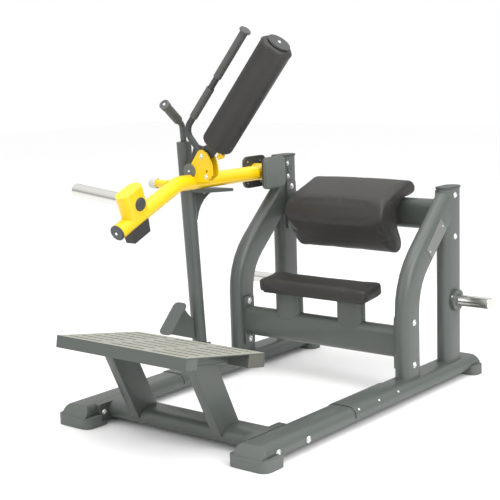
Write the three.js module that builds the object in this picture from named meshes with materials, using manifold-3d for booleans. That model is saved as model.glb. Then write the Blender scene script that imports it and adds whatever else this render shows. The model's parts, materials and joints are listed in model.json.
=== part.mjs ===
// Glute press machine, built as separate pieces.
// Millimetres. +Z is up, -Y is the side where the user steps on, +X is the user's left.
// Pieces are drawn with X = 0 midway between the rails, Y = 0 on the front legs and Z = 0 on the floor.

import * as THREE from "three";
import Module from "manifold-3d";
import { mergeVertices } from "three/addons/utils/BufferGeometryUtils.js";

const wasm = await Module();
wasm.setup();

// Frame tubes
const ovalLong = 120;
const ovalShort = 60;
const frameWall = 3;
const fitGap = 0.3;
const railX = 395;
const railUnder = 15;
const railFront = -928;
const railBack = 428;
const legY = 0;
const legBendStart = 321;
const legBendRadius = 250;
const legBendDeg = 47.5;
const legRunPastBend = 400;
const postY = 307;
const leftPostTop = 750;
const rightPostTop = 850;
const seatBeamZ = 205;
const backBeamZ = 645;
const crossY = -791;
const flangeThick = 10;
const flangeLong = 200;
const flangeCorner = 8;
const saddleDeep = 20;

// Feet and caps
const bootReach = 34;
const bootLength = 110;
const bootSide = 20;
const bootLow = 38;
const bootCorner = 30;
const bootSlopeRun = 26;
const rearBootLength = 74;
const rearBootReach = 24;
const capThick = 8;
const capLip = 3;
const capPlug = 20;

// Step covers
const coverFront = -435;
const coverBack = -130;
const coverThick = 3;
const coverUnder = 38;

// Storage horns
const storageZ = 316;
const collarRadius = 42;
const collarThick = 15;
const storageRadius = 22.5;
const storageWall = 3;
const storageHornLong = 153;
const storageCapRadius = 23.5;
const storageCapLength = 12;

// Seat
const seatSlopeDeg = 6.5;
const seatLevel = 350;
const seatBoardThick = 10;
const seatPadLong = 517;
const seatPadDeep = 146;
const seatPadThick = 49;
const seatPadCrown = 5;
const seatPadCorner = 26;
const seatPadPull = 3;
const seatPadRound = 9;
const seatBoardSide = 20.5;
const seatBoardRim = 12;
const seatBoardLong = seatPadLong - 2 * seatBoardSide;
const seatBoardDeep = seatPadDeep - 2 * seatBoardRim;
const seatPostInset = 91;
const seatPostX = seatBoardLong / 2 - seatPostInset;

// Back pad
const backPadHalf = 234;
const backPadFront = 84;
const backPadDeep = 266;
const backPadLow = 497;
const backPadHigh = 273;
const backPadWrapZ = 734;
const backPadEndRound = 13;
const backPadCrown = 3;
const backBoardFront = 220.6;
const backBoardThick = 12;
const backBoardLow = 598;
const backBoardHigh = 672;
const backBoardHalf = 196;
const backBracketHalf = 170;
const backBracketLow = 620;
const backBracketHigh = 668;
const backBracketWall = 4;

// Footplate, drawn on its own slope from the front top edge
const plateFrontY = -1100;
const plateFrontZ = 376;
const plateSlopeDeg = 9.8;
const plateHalf = 290;
const plateDeep = 389;
const plateSheet = 3;
const plateLip = 41;
const slotRows = 7;
const slotColumns = 3;
const slotWide = 9;
const slotSide = 24;
const slotGapX = 32;
const slotFirstY = 38;
const slotLastY = 39;
const slotLong = (2 * plateHalf - 2 * slotSide - (slotColumns - 1) * slotGapX) / slotColumns;
const slotPitchX = slotLong + slotGapX;
const slotPitchY = (plateDeep - slotFirstY - slotLastY) / (slotRows - 1);
const frontTubeDeep = 50;
const frontTubeHigh = 37;
const rearTubeDeep = 80;
const rearTubeHigh = 44;
const plateTubeWall = 3;
const plateTubeCorner = 4;
const plateInset = 4;
const plateLegInset = 103;
const plateLegX = plateHalf - plateLegInset;
const plateLegWide = 40;
const plateLegLong = 100;
const plateLegLean = 25;
const plateLegY = -903.5;
const plateLegZ = 263;
const bearerHigh = 40;

// Main pivot
const armX = -396;
const pivotY = 168;
const pivotZ = 796;
const earInner = 44.5;
const earThick = 8;
const earFrontY = 102;
const earBackY = 243;
const earLowZ = 730;
const earHighZ = 861;
const earCorner = 24;
const webFrontY = 237;
const webBackY = 262;
const webLowZ = 750;
const webHighZ = 845;
const webInset = 1;
const pivotCoverThick = 10;
const pivotCoverRound = 5;
const pivotShaftRadius = 15;
const bushingRadius = 21;
const runFit = 0.05;
const hubRadius = 35;
const hubHalf = 43;

// Lever arm
const armRadius = 30;
const armWall = 4;
const armBendY = -360;
const armBendZ = 800;
const armBendRadius = 120;
const armEndY = -688;
const armEndZ = 658;
const armCapRadius = 30;
const armCapThick = 10;
const armCapPlug = 18;
const hornBracketY = -592;
const hornBracketTop = 116;
const hornBracketWall = 4;
const hornRadius = 25;
const hornWall = 4;
const hornInnerX = -361;
const hornOuterX = -699;
const hornInnerZ = 753.4;
const hornOuterZ = 790;
const hornY = -604;
const bumperLong = 103;
const bumperBack = 38;
const bumperWide = 46;
const bumperTop = 20;
const bumperLow = 70;
const bumperSlant = 13;
const pegY = -395;
const pegZ = 803;
const pegRadius = 15;
const pegEndRadius = 17;
const pegEndLength = 30;
const pegOuterX = -497;

// Carrier of the swinging pad
const swingY = -267.5;
const swingZ = 843;
const carrierFrontY = -284;
const carrierBackY = -251;
const carrierThick = 6;
const carrierReach = 114;
const carrierTopDeg = 40;
const carrierLowDeg = -6;
const carrierLeft = -14;
const carrierTipRadius = 24;
const stopReach = 85;
const stopHole = 6;
const stopHoleDegs = [44, 1, -13];
const swingPinRadius = 10;
const swingCapRadius = 29;
const swingCapThick = 6;
const swingRaiseDeg = 50.3;
const swingHubRadius = 18;
const hubNotchGap = 1;
const swingPlateHalf = 6;

// Roller and handlebar, drawn lowered: u runs along the roller, w is up
const rollerRadius = 63.5;
const rollerW = -31;
const rollerFromU = 157;
const rollerToU = 638;
const rollerBevel = 20;
const rollerShaftRadius = 12.5;
const rollerFlangeRadius = 38;
const rollerFlangeThick = 6;
const rollerDiscRadius = 45;
const rollerDiscThick = 6;
const rollerEndGap = 1;
const barRadius = 12.5;
const barWall = 2.5;
const barBend = 44;
const barFootU = 82;
const barFootW = 18;
const barCornerU = 98;
const barCornerW = 123;
const barEndU = 578;
const barEndW = 118;
const gripRadius = 16;
const lowGripFrom = 165;
const lowGripTo = 310;
const highGripFrom = 360;
const highGripTo = 573;
const gripFlareRadius = 23;
const gripFlareLength = 10;
const gripFlareEnd = 13;

// Catch lever
const catchX = -468;
const catchFootY = -187;
const catchPivotZ = 118;
const catchPostRadius = 29;
const catchPostWall = 3;
const catchTopY = -236;
const catchTopZ = 950;
const catchTail = 22;
const stemRadius = 12;
const stemBendY = -241;
const stemBendZ = 1016;
const stemBendRadius = 34;
const catchTipX = -450;
const catchTipY = -354;
const catchTipZ = 1099;
const catchGripRadius = 18;
const catchGripRing = 20;
const catchGripRingLong = 14;
const catchGripRound = 2.7;
const catchGripEnd = 5;
const catchGripTail = 112;
const restFrontY = -236;
const restBackY = -63;
const restFrontZ = 769;
const restBackZ = 754;
const restThick = 16;
const restBackThick = 12;
const restInnerX = -368;
const restOuterX = -460;
const gussetHalf = 5;
const gussetLowZ = 636;
const gussetFoot = 50;
const gussetCurve = 64;
const gussetArcShare = 0.72;
const pedalWide = 66;
const pedalThick = 6;
const pedalCorner = 20;
const pedalLowY = -393;
const pedalLowZ = 208;
const pedalHighY = -287;
const pedalHighZ = 316;
const pedalPlateHalf = 4;
const pedalWebBack = 30;
const pedalWebDown = 48;
const pedalWebTop = 84;
const footEarInner = 33;
const footEarThick = 8;
const footEarHalf = 28;
const footEarTopShare = 0.7;
const footBaseLow = 79;
const footBaseThick = 8;
const footBaseInnerX = -372;
const footPinRadius = 10;

// Nameplate blank
const namePlateY = 166;
const namePlateZ = 575;
const namePlateLong = 147;
const namePlateHigh = 63;
const namePlateLow = 50;
const namePlateThick = 1.5;

// How finely round things are drawn
const backPadPoints = 46;
const padEndSteps = 3;
const padSpans = 4;
const roundSteps = 4;
const fineSteps = 11;
const bendSteps = 5;
const latheSteps = 22;
const smoothSteps = 40;
const hornSteps = 30;
const cornerSteps = 1;
const plateSteps = 2;
const cushionSteps = 8;
const far = 3000;
const weldGap = 1e-4;

const rad = THREE.MathUtils.degToRad;
const vec = (x, y, z) => new THREE.Vector3(x, y, z);

// Colours and surface
const paint = { color: 0x5f6664, roughness: 0.42, metalness: 0.25 };
const darkPaint = { color: 0x3b3f3f, roughness: 0.45, metalness: 0.2 };
const yellowPaint = { color: 0xffdc00, roughness: 0.35, metalness: 0.05 };
const bootRubber = { color: 0x747b76, roughness: 0.8, metalness: 0 };
const blackRubber = { color: 0x2a2a2a, roughness: 0.85, metalness: 0 };
const greyPlastic = { color: 0x5f6664, roughness: 0.5, metalness: 0 };
const padSkin = { color: 0x33312e, roughness: 0.6, metalness: 0 };
const chrome = { color: 0xd0d0cc, roughness: 0.15, metalness: 1 };
const steel = { color: 0x9a9a98, roughness: 0.35, metalness: 0.9 };
const brass = { color: 0xb08d3c, roughness: 0.4, metalness: 0.9 };
const treadPaint = { color: 0xc9c8b8, roughness: 0.6, metalness: 0.1 };
const plywood = { color: 0x8d7148, roughness: 0.8, metalness: 0 };
const silver = { color: 0xb9bab8, roughness: 0.4, metalness: 0.8 };

// Solids and booleans
function toSolid(geometry) {
  const bare = geometry.clone();
  bare.deleteAttribute("normal");
  bare.deleteAttribute("uv");
  const merged = mergeVertices(bare, weldGap);
  const mesh = new wasm.Mesh({
    numProp: 3,
    vertProperties: new Float32Array(merged.attributes.position.array),
    triVerts: new Uint32Array(merged.index.array),
  });
  return new wasm.Manifold(mesh);
}

function toGeometry(solid) {
  const mesh = solid.getMesh();
  const geometry = new THREE.BufferGeometry();
  geometry.setAttribute("position", new THREE.BufferAttribute(new Float32Array(mesh.vertProperties), 3));
  geometry.setIndex(new THREE.BufferAttribute(new Uint32Array(mesh.triVerts), 1));
  geometry.computeVertexNormals();
  return geometry;
}

function join(...geometries) {
  return toGeometry(geometries.map(toSolid).reduce((whole, part) => whole.add(part)));
}

function cut(base, ...tools) {
  return toGeometry(tools.map(toSolid).reduce((whole, tool) => whole.subtract(tool), toSolid(base)));
}

// Sections
function ovalShape(wide, high, grow = 0) {
  const shape = new THREE.Shape();
  const radius = Math.min(wide, high) / 2 + grow;
  const run = Math.abs(wide - high) / 2;
  if (wide >= high) {
    shape.absarc(run, 0, radius, -Math.PI / 2, Math.PI / 2);
    shape.absarc(-run, 0, radius, Math.PI / 2, Math.PI * 3 / 2);
  } else {
    shape.absarc(0, run, radius, 0, Math.PI);
    shape.absarc(0, -run, radius, Math.PI, Math.PI * 2);
  }
  return shape;
}

function ovalTube(wide, high, wall) {
  const shape = ovalShape(wide, high);
  shape.holes.push(ovalShape(wide, high, -wall));
  return shape;
}

function roundShape(radius) {
  return new THREE.Shape().absarc(0, 0, radius, 0, Math.PI * 2);
}

function roundTube(radius, wall) {
  const shape = roundShape(radius);
  shape.holes.push(roundShape(radius - wall));
  return shape;
}

function roundedBox(wide, high, radius) {
  const shape = new THREE.Shape();
  const x = wide / 2 - radius;
  const y = high / 2 - radius;
  shape.absarc(x, y, radius, 0, Math.PI / 2);
  shape.absarc(-x, y, radius, Math.PI / 2, Math.PI);
  shape.absarc(-x, -y, radius, Math.PI, Math.PI * 3 / 2);
  shape.absarc(x, -y, radius, Math.PI * 3 / 2, Math.PI * 2);
  return shape;
}

function boxTube(wide, high, radius, wall) {
  const shape = roundedBox(wide, high, radius);
  shape.holes.push(roundedBox(wide - 2 * wall, high - 2 * wall, radius - wall / 2));
  return shape;
}

function outline(points) {
  return new THREE.Shape(points.map(([a, b]) => new THREE.Vector2(a, b)));
}

// Straight pieces along the three axes
function alongZ(shape, low, high, curveSegments = roundSteps) {
  const options = { depth: high - low, bevelEnabled: false, curveSegments };
  return new THREE.ExtrudeGeometry(shape, options).translate(0, 0, low);
}

function turned(geometry, xAxis, yAxis, zAxis) {
  return geometry.applyMatrix4(new THREE.Matrix4().makeBasis(xAxis, yAxis, zAxis));
}

// The shape's x runs along Y and its y along Z
function alongX(shape, low, high, curveSegments = roundSteps) {
  return turned(alongZ(shape, low, high, curveSegments), vec(0, 1, 0), vec(0, 0, 1), vec(1, 0, 0));
}

// The shape's x runs along X and its y along Z
function alongY(shape, low, high, curveSegments = roundSteps) {
  return turned(alongZ(shape, -high, -low, curveSegments), vec(1, 0, 0), vec(0, 0, 1), vec(0, -1, 0));
}

function block(x0, x1, y0, y1, z0, z1) {
  const box = new THREE.BoxGeometry(x1 - x0, y1 - y0, z1 - z0);
  return box.translate((x0 + x1) / 2, (y0 + y1) / 2, (z0 + z1) / 2);
}

// A turned piece: pairs of radius and height, standing along Z
function lathe(profile, steps = latheSteps) {
  const points = profile.map(([radius, height]) => new THREE.Vector2(radius, height));
  return new THREE.LatheGeometry(points, steps).rotateX(Math.PI / 2);
}

// Lays a piece that stands along Z onto a direction, from a point
function aim(geometry, from, direction) {
  const turn = new THREE.Quaternion().setFromUnitVectors(vec(0, 0, 1), direction.clone().normalize());
  return geometry.applyQuaternion(turn).translate(from.x, from.y, from.z);
}

// A faceted bore that clears a faceted pin by the running fit
function boreOf(pinRadius) {
  return (pinRadius + runFit) / Math.cos(Math.PI / smoothSteps);
}

function rod(radius, from, to, steps = latheSteps) {
  const length = from.distanceTo(to);
  return aim(lathe([[0, 0], [radius, 0], [radius, length], [0, length]], steps), from, to.clone().sub(from));
}

// A route of straight runs joined by arcs, used as an extrude path
class Route extends THREE.Curve {
  constructor(corners, radii, side) {
    super();
    this.side = side;
    this.spots = [];
    this.headings = [];
    this.lay(corners, radii);
  }

  add(spot, heading) {
    this.spots.push(spot.clone());
    this.headings.push(heading.clone().normalize());
  }

  lay(corners, radii) {
    const last = corners.length - 1;
    this.add(corners[0], corners[1].clone().sub(corners[0]));
    for (let i = 1; i < last; i++) {
      this.bend(corners[i - 1], corners[i], corners[i + 1], radii[i - 1]);
    }
    this.add(corners[last], corners[last].clone().sub(corners[last - 1]));
  }

  bend(before, corner, after, radius) {
    const inward = corner.clone().sub(before).normalize();
    const outward = after.clone().sub(corner).normalize();
    const angle = inward.angleTo(outward);
    const axis = inward.clone().cross(outward).normalize();
    const start = corner.clone().addScaledVector(inward, -radius * Math.tan(angle / 2));
    const centre = start.clone().addScaledVector(axis.clone().cross(inward), radius);
    for (let i = 0; i <= bendSteps; i++) {
      const turn = angle * i / bendSteps;
      const spot = start.clone().sub(centre).applyAxisAngle(axis, turn).add(centre);
      this.add(spot, inward.clone().applyAxisAngle(axis, turn));
    }
  }

  getPoint(t) {
    return this.spots[Math.round(t * (this.spots.length - 1))].clone();
  }

  getSpacedPoints() {
    return this.spots.map((spot) => spot.clone());
  }

  computeFrenetFrames() {
    const normals = this.headings.map((heading) => {
      const off = this.side.dot(heading);
      return this.side.clone().addScaledVector(heading, -off).normalize();
    });
    const binormals = this.headings.map((heading, i) => heading.clone().cross(normals[i]));
    return { tangents: this.headings, normals, binormals };
  }
}

function along(shape, route, curveSegments = roundSteps) {
  const options = { steps: route.spots.length - 1, extrudePath: route, bevelEnabled: false, curveSegments };
  return new THREE.ExtrudeGeometry(shape, options);
}

// Closed form through rings of points that have equal counts
function skin(rings) {
  const count = rings[0].length;
  const points = rings.flat();
  const index = [];
  for (let r = 0; r < rings.length - 1; r++) {
    for (let i = 0; i < count; i++) {
      const next = (i + 1) % count;
      const low = r * count;
      const high = low + count;
      index.push(low + i, low + next, high + i);
      index.push(low + next, high + next, high + i);
    }
  }
  return { points, index, count };
}

function skinGeometry({ points, index }) {
  const geometry = new THREE.BufferGeometry();
  geometry.setAttribute("position", new THREE.Float32BufferAttribute(points.flatMap((p) => p.toArray()), 3));
  geometry.setIndex(index);
  geometry.computeVertexNormals();
  return geometry;
}

function mirror(geometry) {
  const flipped = geometry.clone().scale(-1, 1, 1);
  const other = flipped.index ? flipped : mergeVertices(flipped, weldGap);
  const index = Array.from(other.index.array);
  for (let i = 0; i < index.length; i += 3) {
    [index[i + 1], index[i + 2]] = [index[i + 2], index[i + 1]];
  }
  other.setIndex(index);
  other.computeVertexNormals();
  return other;
}

// The machine
const machine = new THREE.Group();
const root = new THREE.Group();
root.add(machine);

function piece(name, geometry, look, parent = machine) {
  const mesh = new THREE.Mesh(geometry, new THREE.MeshStandardMaterial(look));
  mesh.name = name;
  parent.add(mesh);
  return mesh;
}

function pair(name, geometry, look) {
  piece(`left_${name}`, geometry, look);
  piece(`right_${name}`, mirror(geometry), look);
}

// Rails, boots and step covers
const railZ = railUnder + ovalShort / 2;
const railTop = railUnder + ovalShort;
const halfLong = ovalLong / 2;
const halfShort = ovalShort / 2;

function railRoom(low, high) {
  return alongY(ovalShape(ovalLong, ovalShort, fitGap), low, high).translate(railX, 0, railZ);
}

const rail = alongY(ovalTube(ovalLong, ovalShort, frameWall), railFront, railBack).translate(railX, 0, railZ);
pair("base_rail", rail, paint);

// A rubber boot whose nose points along sense, at a rail's end
function boot(railEnd, sense, reach, length) {
  const tip = railEnd + sense * reach;
  const heel = tip - sense * length;
  const wide = ovalLong + 2 * bootSide;
  const foot = alongZ(roundedBox(wide, length, bootCorner), 0, bootLow, roundSteps / 2);
  foot.translate(railX, (tip + heel) / 2, 0);
  const noseLow = Math.min(railEnd, tip);
  const noseHigh = Math.max(railEnd, tip);
  const nose = alongY(ovalShape(ovalLong, ovalShort), noseLow, noseHigh).translate(railX, 0, railZ);
  const slope = outline([
    [railEnd, railTop],
    [railEnd + sense * bootSlopeRun, bootLow],
    [tip + sense * length, bootLow],
    [tip + sense * length, far],
    [railEnd, far],
  ]);
  const wedge = alongX(slope, 0, far);
  const pocketEnd = railEnd - sense * far;
  const pocket = railRoom(Math.min(railEnd, pocketEnd), Math.max(railEnd, pocketEnd));
  pocket.translate(0, sense * fitGap, 0);
  const flangeRoom = block(
    0, railX - halfLong + saddleDeep,
    crossY - flangeLong / 2 - fitGap, crossY + flangeLong,
    railUnder - fitGap, far,
  );
  return cut(join(foot, cut(nose, wedge)), pocket, flangeRoom);
}

pair("front_boot", boot(railFront, -1, bootReach, bootLength), bootRubber);
pair("rear_boot", boot(railBack, 1, rearBootReach, rearBootLength), bootRubber);

function stepCover() {
  const outer = alongY(ovalShape(ovalLong, ovalShort, coverThick + fitGap), coverFront, coverBack);
  const whole = outer.translate(railX, 0, railZ);
  const under = block(0, far, coverFront - far, far, -far, coverUnder);
  return cut(whole, railRoom(coverFront - far, far), under);
}

const coverSolid = stepCover();

// Posts, legs and caps
function postShape(grow = 0) {
  return ovalShape(ovalShort, ovalLong, grow);
}

function post(top) {
  return alongZ(ovalTube(ovalShort, ovalLong, frameWall), railTop + fitGap, top).translate(railX, postY, 0);
}

function postCap(top) {
  const lid = alongZ(postShape(capLip), top + fitGap, top + capThick);
  const plug = alongZ(postShape(-frameWall - fitGap), top - capPlug, top + capThick / 2);
  return join(lid, plug).translate(railX, postY, 0);
}

piece("left_rear_post", post(leftPostTop), paint);
piece("right_rear_post", mirror(post(rightPostTop)), paint);
piece("left_post_cap", postCap(leftPostTop), darkPaint);
piece("right_post_cap", mirror(postCap(rightPostTop)), darkPaint);

const legCorner = legBendStart + legBendRadius * Math.tan(rad(legBendDeg) / 2);
const legTip = vec(
  railX,
  legY + legRunPastBend * Math.sin(rad(legBendDeg)),
  legCorner + legRunPastBend * Math.cos(rad(legBendDeg)),
);
const legRoute = new Route(
  [vec(railX, legY, railTop + fitGap), vec(railX, legY, legCorner), legTip],
  [legBendRadius],
  vec(1, 0, 0),
);
const postRoom = alongZ(postShape(fitGap), 0, far).translate(railX, postY, 0);
const leg = cut(along(ovalTube(ovalShort, ovalLong, frameWall), legRoute), postRoom);
pair("front_leg", leg, paint);
piece("left_step_cover", coverSolid, paint);
piece("right_step_cover", mirror(coverSolid), paint);

// Storage horns
const postFace = railX + halfShort;
const collarBore = storageRadius + fitGap;
const collar = lathe([
  [collarBore, fitGap],
  [collarRadius, fitGap],
  [collarRadius, collarThick],
  [collarBore, collarThick],
  [collarBore, fitGap],
]);
pair("storage_collar", aim(collar, vec(postFace, postY, storageZ), vec(1, 0, 0)), paint);

const sleeve = lathe([
  [storageRadius - storageWall, fitGap],
  [storageRadius, fitGap],
  [storageRadius, storageHornLong - storageCapLength],
  [storageCapRadius, storageHornLong - storageCapLength],
  [storageCapRadius, storageHornLong - storageCapLength / 3],
  [storageCapRadius - storageCapLength / 3, storageHornLong],
  [0, storageHornLong],
  [0, storageHornLong - storageCapLength / 2],
  [storageRadius - storageWall, storageHornLong - storageCapLength / 2],
  [storageRadius - storageWall, fitGap],
], hornSteps);
pair("storage_horn", aim(sleeve, vec(postFace, postY, storageZ), vec(1, 0, 0)), chrome);

// Cross beams with end flanges
const innerFace = railX - halfShort - fitGap;

function beam(shape, bore, y, z) {
  const plateShape = roundedBox(ovalShort, flangeLong, flangeCorner);
  const inside = innerFace - flangeThick;
  const tube = alongX(shape, -innerFace, innerFace);
  const ends = [
    alongX(plateShape, inside, innerFace, cornerSteps),
    alongX(plateShape, -innerFace, -inside, cornerSteps),
  ];
  return cut(join(tube, ...ends), alongX(bore, -far, far)).translate(0, y, z);
}

const upright = ovalShape(ovalShort, ovalLong);
const uprightBore = ovalShape(ovalShort, ovalLong, -frameWall);
piece("seat_beam", beam(upright, uprightBore, legY, seatBeamZ), paint);
piece("back_beam", beam(upright, uprightBore, postY, backBeamZ), paint);

function crossMember() {
  const railSide = railX - halfLong;
  const tip = railSide + saddleDeep;
  const flange = roundedBox(flangeLong, ovalShort - fitGap, flangeCorner);
  const tube = alongX(ovalShape(ovalLong, ovalShort), -tip, tip);
  const ends = [
    alongX(flange, railSide - flangeThick, tip, cornerSteps),
    alongX(flange, -tip, flangeThick - railSide, cornerSteps),
  ];
  const whole = join(tube, ...ends).translate(0, crossY, railZ);
  const bore = alongX(ovalShape(ovalLong, ovalShort, -frameWall), -far, far).translate(0, crossY, railZ);
  const room = railRoom(-far, far);
  return cut(whole, bore, room, mirror(room));
}

piece("front_cross_member", crossMember(), paint);

// Seat
const seatTilt = rad(seatSlopeDeg);

function onSeat(geometry) {
  return geometry.rotateX(seatTilt).translate(0, legY, seatLevel);
}

function seatPost() {
  const low = seatBeamZ + halfLong - halfShort;
  const tube = alongZ(ovalTube(ovalLong, ovalShort, frameWall), low, seatLevel + ovalShort);
  const saddle = alongX(ovalShape(ovalShort, ovalLong, fitGap), -far, far).translate(0, legY, seatBeamZ);
  const above = onSeat(block(-far, far, -far, far, -fitGap, far));
  return cut(tube.translate(seatPostX, legY, 0), saddle, above);
}

pair("seat_post", seatPost(), paint);

// A cushion's rings, low to high: inset and height, as shares of its edge's radius
const lowEdgeShares = [[0.5, 0], [0.17, 0.25], [0, 1]];
const highEdgeShares = [[0, 1], [0.3, 0.3], [1, 0]];
// The crown's rings: how far in and how high, as shares of the way to the middle and of the crown
const crownShares = [[0.2, 0.45], [0.45, 0.8], [0.7, 0.95], [0.98, 1]];
const pullPower = 6;

// The sides of a cushion are drawn in most at their middle
function drawnIn(x, y, halfWide, halfDeep, pull) {
  const sx = Math.min(1, Math.abs(x) / halfWide);
  const sy = Math.min(1, Math.abs(y) / halfDeep);
  const pullX = pull * Math.sign(x) * sx ** pullPower * (1 - sy * sy);
  const pullY = pull * Math.sign(y) * sy ** pullPower * (1 - sx * sx);
  return [x - pullX, y - pullY];
}

// A rounded rectangle of points, inset from its full size
function cushionOutline(x, y, corner, inset) {
  const near = corner - inset;
  const spots = [];
  const arc = (cx, cy, start) => {
    const steps = cushionSteps / 4;
    for (let i = 0; i <= steps; i++) {
      const turn = start + Math.PI / 2 * i / steps;
      spots.push([cx + near * Math.cos(turn), cy + near * Math.sin(turn)]);
    }
  };
  const run = (x0, y0, x1, y1, count) => {
    for (let i = 1; i < count; i++) {
      spots.push([x0 + (x1 - x0) * i / count, y0 + (y1 - y0) * i / count]);
    }
  };
  arc(x, y, 0);
  run(x, y + near, -x, y + near, cushionSteps);
  arc(-x, y, Math.PI / 2);
  run(-x - near, y, -x - near, -y, cushionSteps / 2);
  arc(-x, -y, Math.PI);
  run(-x, -y - near, x, -y - near, cushionSteps);
  arc(x, -y, Math.PI * 3 / 2);
  run(x + near, -y, x + near, y, cushionSteps / 2);
  return spots;
}

// A cushion: rings of a rounded rectangle, with drawn-in sides and a crown
function cushion(wide, deep, thick, crown, corner, pull, edge) {
  const ringAt = (inset, z) => {
    const spots = cushionOutline(wide / 2 - corner, deep / 2 - corner, corner, inset);
    return spots.map(([x, y]) => vec(...drawnIn(x, y, wide / 2, deep / 2, pull), z));
  };
  const rings = [
    ...lowEdgeShares.map(([inset, rise]) => ringAt(edge * inset, edge * rise)),
    ...highEdgeShares.map(([inset, drop]) => ringAt(edge * inset, thick - edge * drop)),
  ];
  const top = rings.at(-1);
  for (const [share, rise] of crownShares) {
    rings.push(top.map((p) => vec(p.x * (1 - share * deep / wide), p.y * (1 - share), thick + rise * crown)));
  }
  const made = skin(rings);
  closeRing(made, 0, vec(0, 0, 0), true);
  closeRing(made, (rings.length - 1) * made.count, vec(0, 0, thick + crown), false);
  return skinGeometry(made);
}

function closeRing(made, first, centre, flip) {
  const hub = made.points.length;
  made.points.push(centre);
  for (let i = 0; i < made.count; i++) {
    const next = (i + 1) % made.count;
    const pairOf = flip ? [first + next, first + i] : [first + i, first + next];
    made.index.push(hub, ...pairOf);
  }
}

const board = alongZ(roundedBox(seatBoardLong, seatBoardDeep, seatPadCorner / 2), 0, seatBoardThick);
piece("seat_board", onSeat(board), plywood);
const seatCushion = cushion(
  seatPadLong, seatPadDeep, seatPadThick, seatPadCrown, seatPadCorner, seatPadPull, seatPadRound,
);
// The cushion wraps the board, so it has a pocket for it in its underside
const boardRoom = alongZ(
  roundedBox(seatBoardLong + 2 * fitGap, seatBoardDeep + 2 * fitGap, seatPadCorner / 2),
  -fitGap, seatBoardThick + fitGap,
);
piece("seat_pad", onSeat(cut(seatCushion, boardRoom)), padSkin);

// Back pad: one bent section carried from end to end, as shares of its depth and height
const backSectionShares = [
  [0.459, 0], [0.316, 0.081], [0.18, 0.227], [0.075, 0.381], [0, 0.509],
  [0.008, 0.626], [0.09, 0.751], [0.297, 0.853], [0.56, 0.945], [0.774, 1],
  [0.902, 1], [0.989, 0.927], [1, 0.846], [0.944, 0.791], [0.812, 0.784],
  [0.684, 0.766], [0.571, 0.714], [0.515, 0.648], [0.511, 0.524], [0.511, 0.399],
  [0.571, 0.282], [0.613, 0.158], [0.579, 0.04],
];
const backSection = backSectionShares.map(([y, z]) => (
  vec(0, backPadFront + backPadDeep * y, backPadLow + backPadHigh * z)
));

function backPad() {
  const spline = new THREE.CatmullRomCurve3(backSection, true, "centripetal");
  const spots = spline.getPoints(backPadPoints).slice(0, -1);
  const area = spots.reduce((sum, p, i) => {
    const q = spots[(i + 1) % spots.length];
    return sum + p.y * q.z - q.y * p.z;
  }, 0);
  if (area < 0) {
    spots.reverse();
  }
  const outward = spots.map((p, i) => {
    const before = spots.at(i - 1);
    const after = spots[(i + 1) % spots.length];
    return vec(0, after.z - before.z, before.y - after.y).normalize();
  });
  const ring = (x, grow) => spots.map((p, i) => {
    const free = p.y < backBoardFront - backPadEndRound || p.z > backPadWrapZ;
    const swell = grow > 0 && !free ? 0 : grow;
    return vec(x, p.y + outward[i].y * swell, p.z + outward[i].z * swell);
  });
  const ends = [];
  for (let i = 1; i <= padEndSteps; i++) {
    const turn = Math.PI / 2 * i / padEndSteps;
    const out = backPadEndRound * Math.sin(turn);
    ends.push([backPadHalf - backPadEndRound + out, -backPadEndRound * (1 - Math.cos(turn))]);
  }
  const straight = backPadHalf - backPadEndRound;
  const rings = ends.map(([x, grow]) => ring(-x, grow)).reverse();
  for (let i = 0; i <= padSpans; i++) {
    rings.push(ring(straight * (2 * i / padSpans - 1), backPadCrown * Math.sin(Math.PI * i / padSpans)));
  }
  rings.push(...ends.map(([x, grow]) => ring(x, grow)));
  const made = skin(rings);
  const flat = spots.map((p) => new THREE.Vector2(p.y, p.z));
  const last = (rings.length - 1) * made.count;
  for (const [i, j, k] of THREE.ShapeUtils.triangulateShape(flat, [])) {
    made.index.push(i, k, j);
    made.index.push(last + i, last + j, last + k);
  }
  return skinGeometry(made);
}

const backBoardBack = backBoardFront + backBoardThick;
const backRoom = block(
  -backBoardHalf - fitGap, backBoardHalf + fitGap,
  backBoardFront - fitGap, postY,
  backBoardLow - fitGap, backBoardHigh + fitGap,
);
piece("back_pad", cut(backPad(), backRoom), padSkin);
const backBoard = block(
  -backBoardHalf, backBoardHalf, backBoardFront, backBoardBack, backBoardLow, backBoardHigh,
);
piece("back_pad_board", backBoard, plywood);

function backBracket() {
  const front = backBoardBack + fitGap;
  const back = postY - halfShort - fitGap;
  const outer = block(-backBracketHalf, backBracketHalf, front, back, backBracketLow, backBracketHigh);
  const inner = block(
    -far, far,
    front + backBracketWall, back - backBracketWall,
    backBracketLow + backBracketWall, backBracketHigh - backBracketWall,
  );
  return cut(outer, inner);
}

piece("back_pad_bracket", backBracket(), darkPaint);

// Nameplate blank on the left front leg
function nameplate() {
  const lean = rad(legBendDeg);
  const spot = (along, across) => [
    namePlateY + along * Math.sin(lean) + across * Math.cos(lean),
    namePlateZ + along * Math.cos(lean) - across * Math.sin(lean),
  ];
  const half = namePlateLong / 2;
  const shape = outline([
    spot(half, -namePlateHigh / 2),
    spot(half, namePlateHigh / 2),
    spot(-half, namePlateLow / 2),
    spot(-half, -namePlateLow / 2),
  ]);
  return alongX(shape, postFace + fitGap, postFace + fitGap + namePlateThick);
}

piece("nameplate", nameplate(), silver);

// Footplate
function onPlate(geometry) {
  return geometry.rotateX(-rad(plateSlopeDeg)).translate(0, plateFrontY, plateFrontZ);
}

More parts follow.
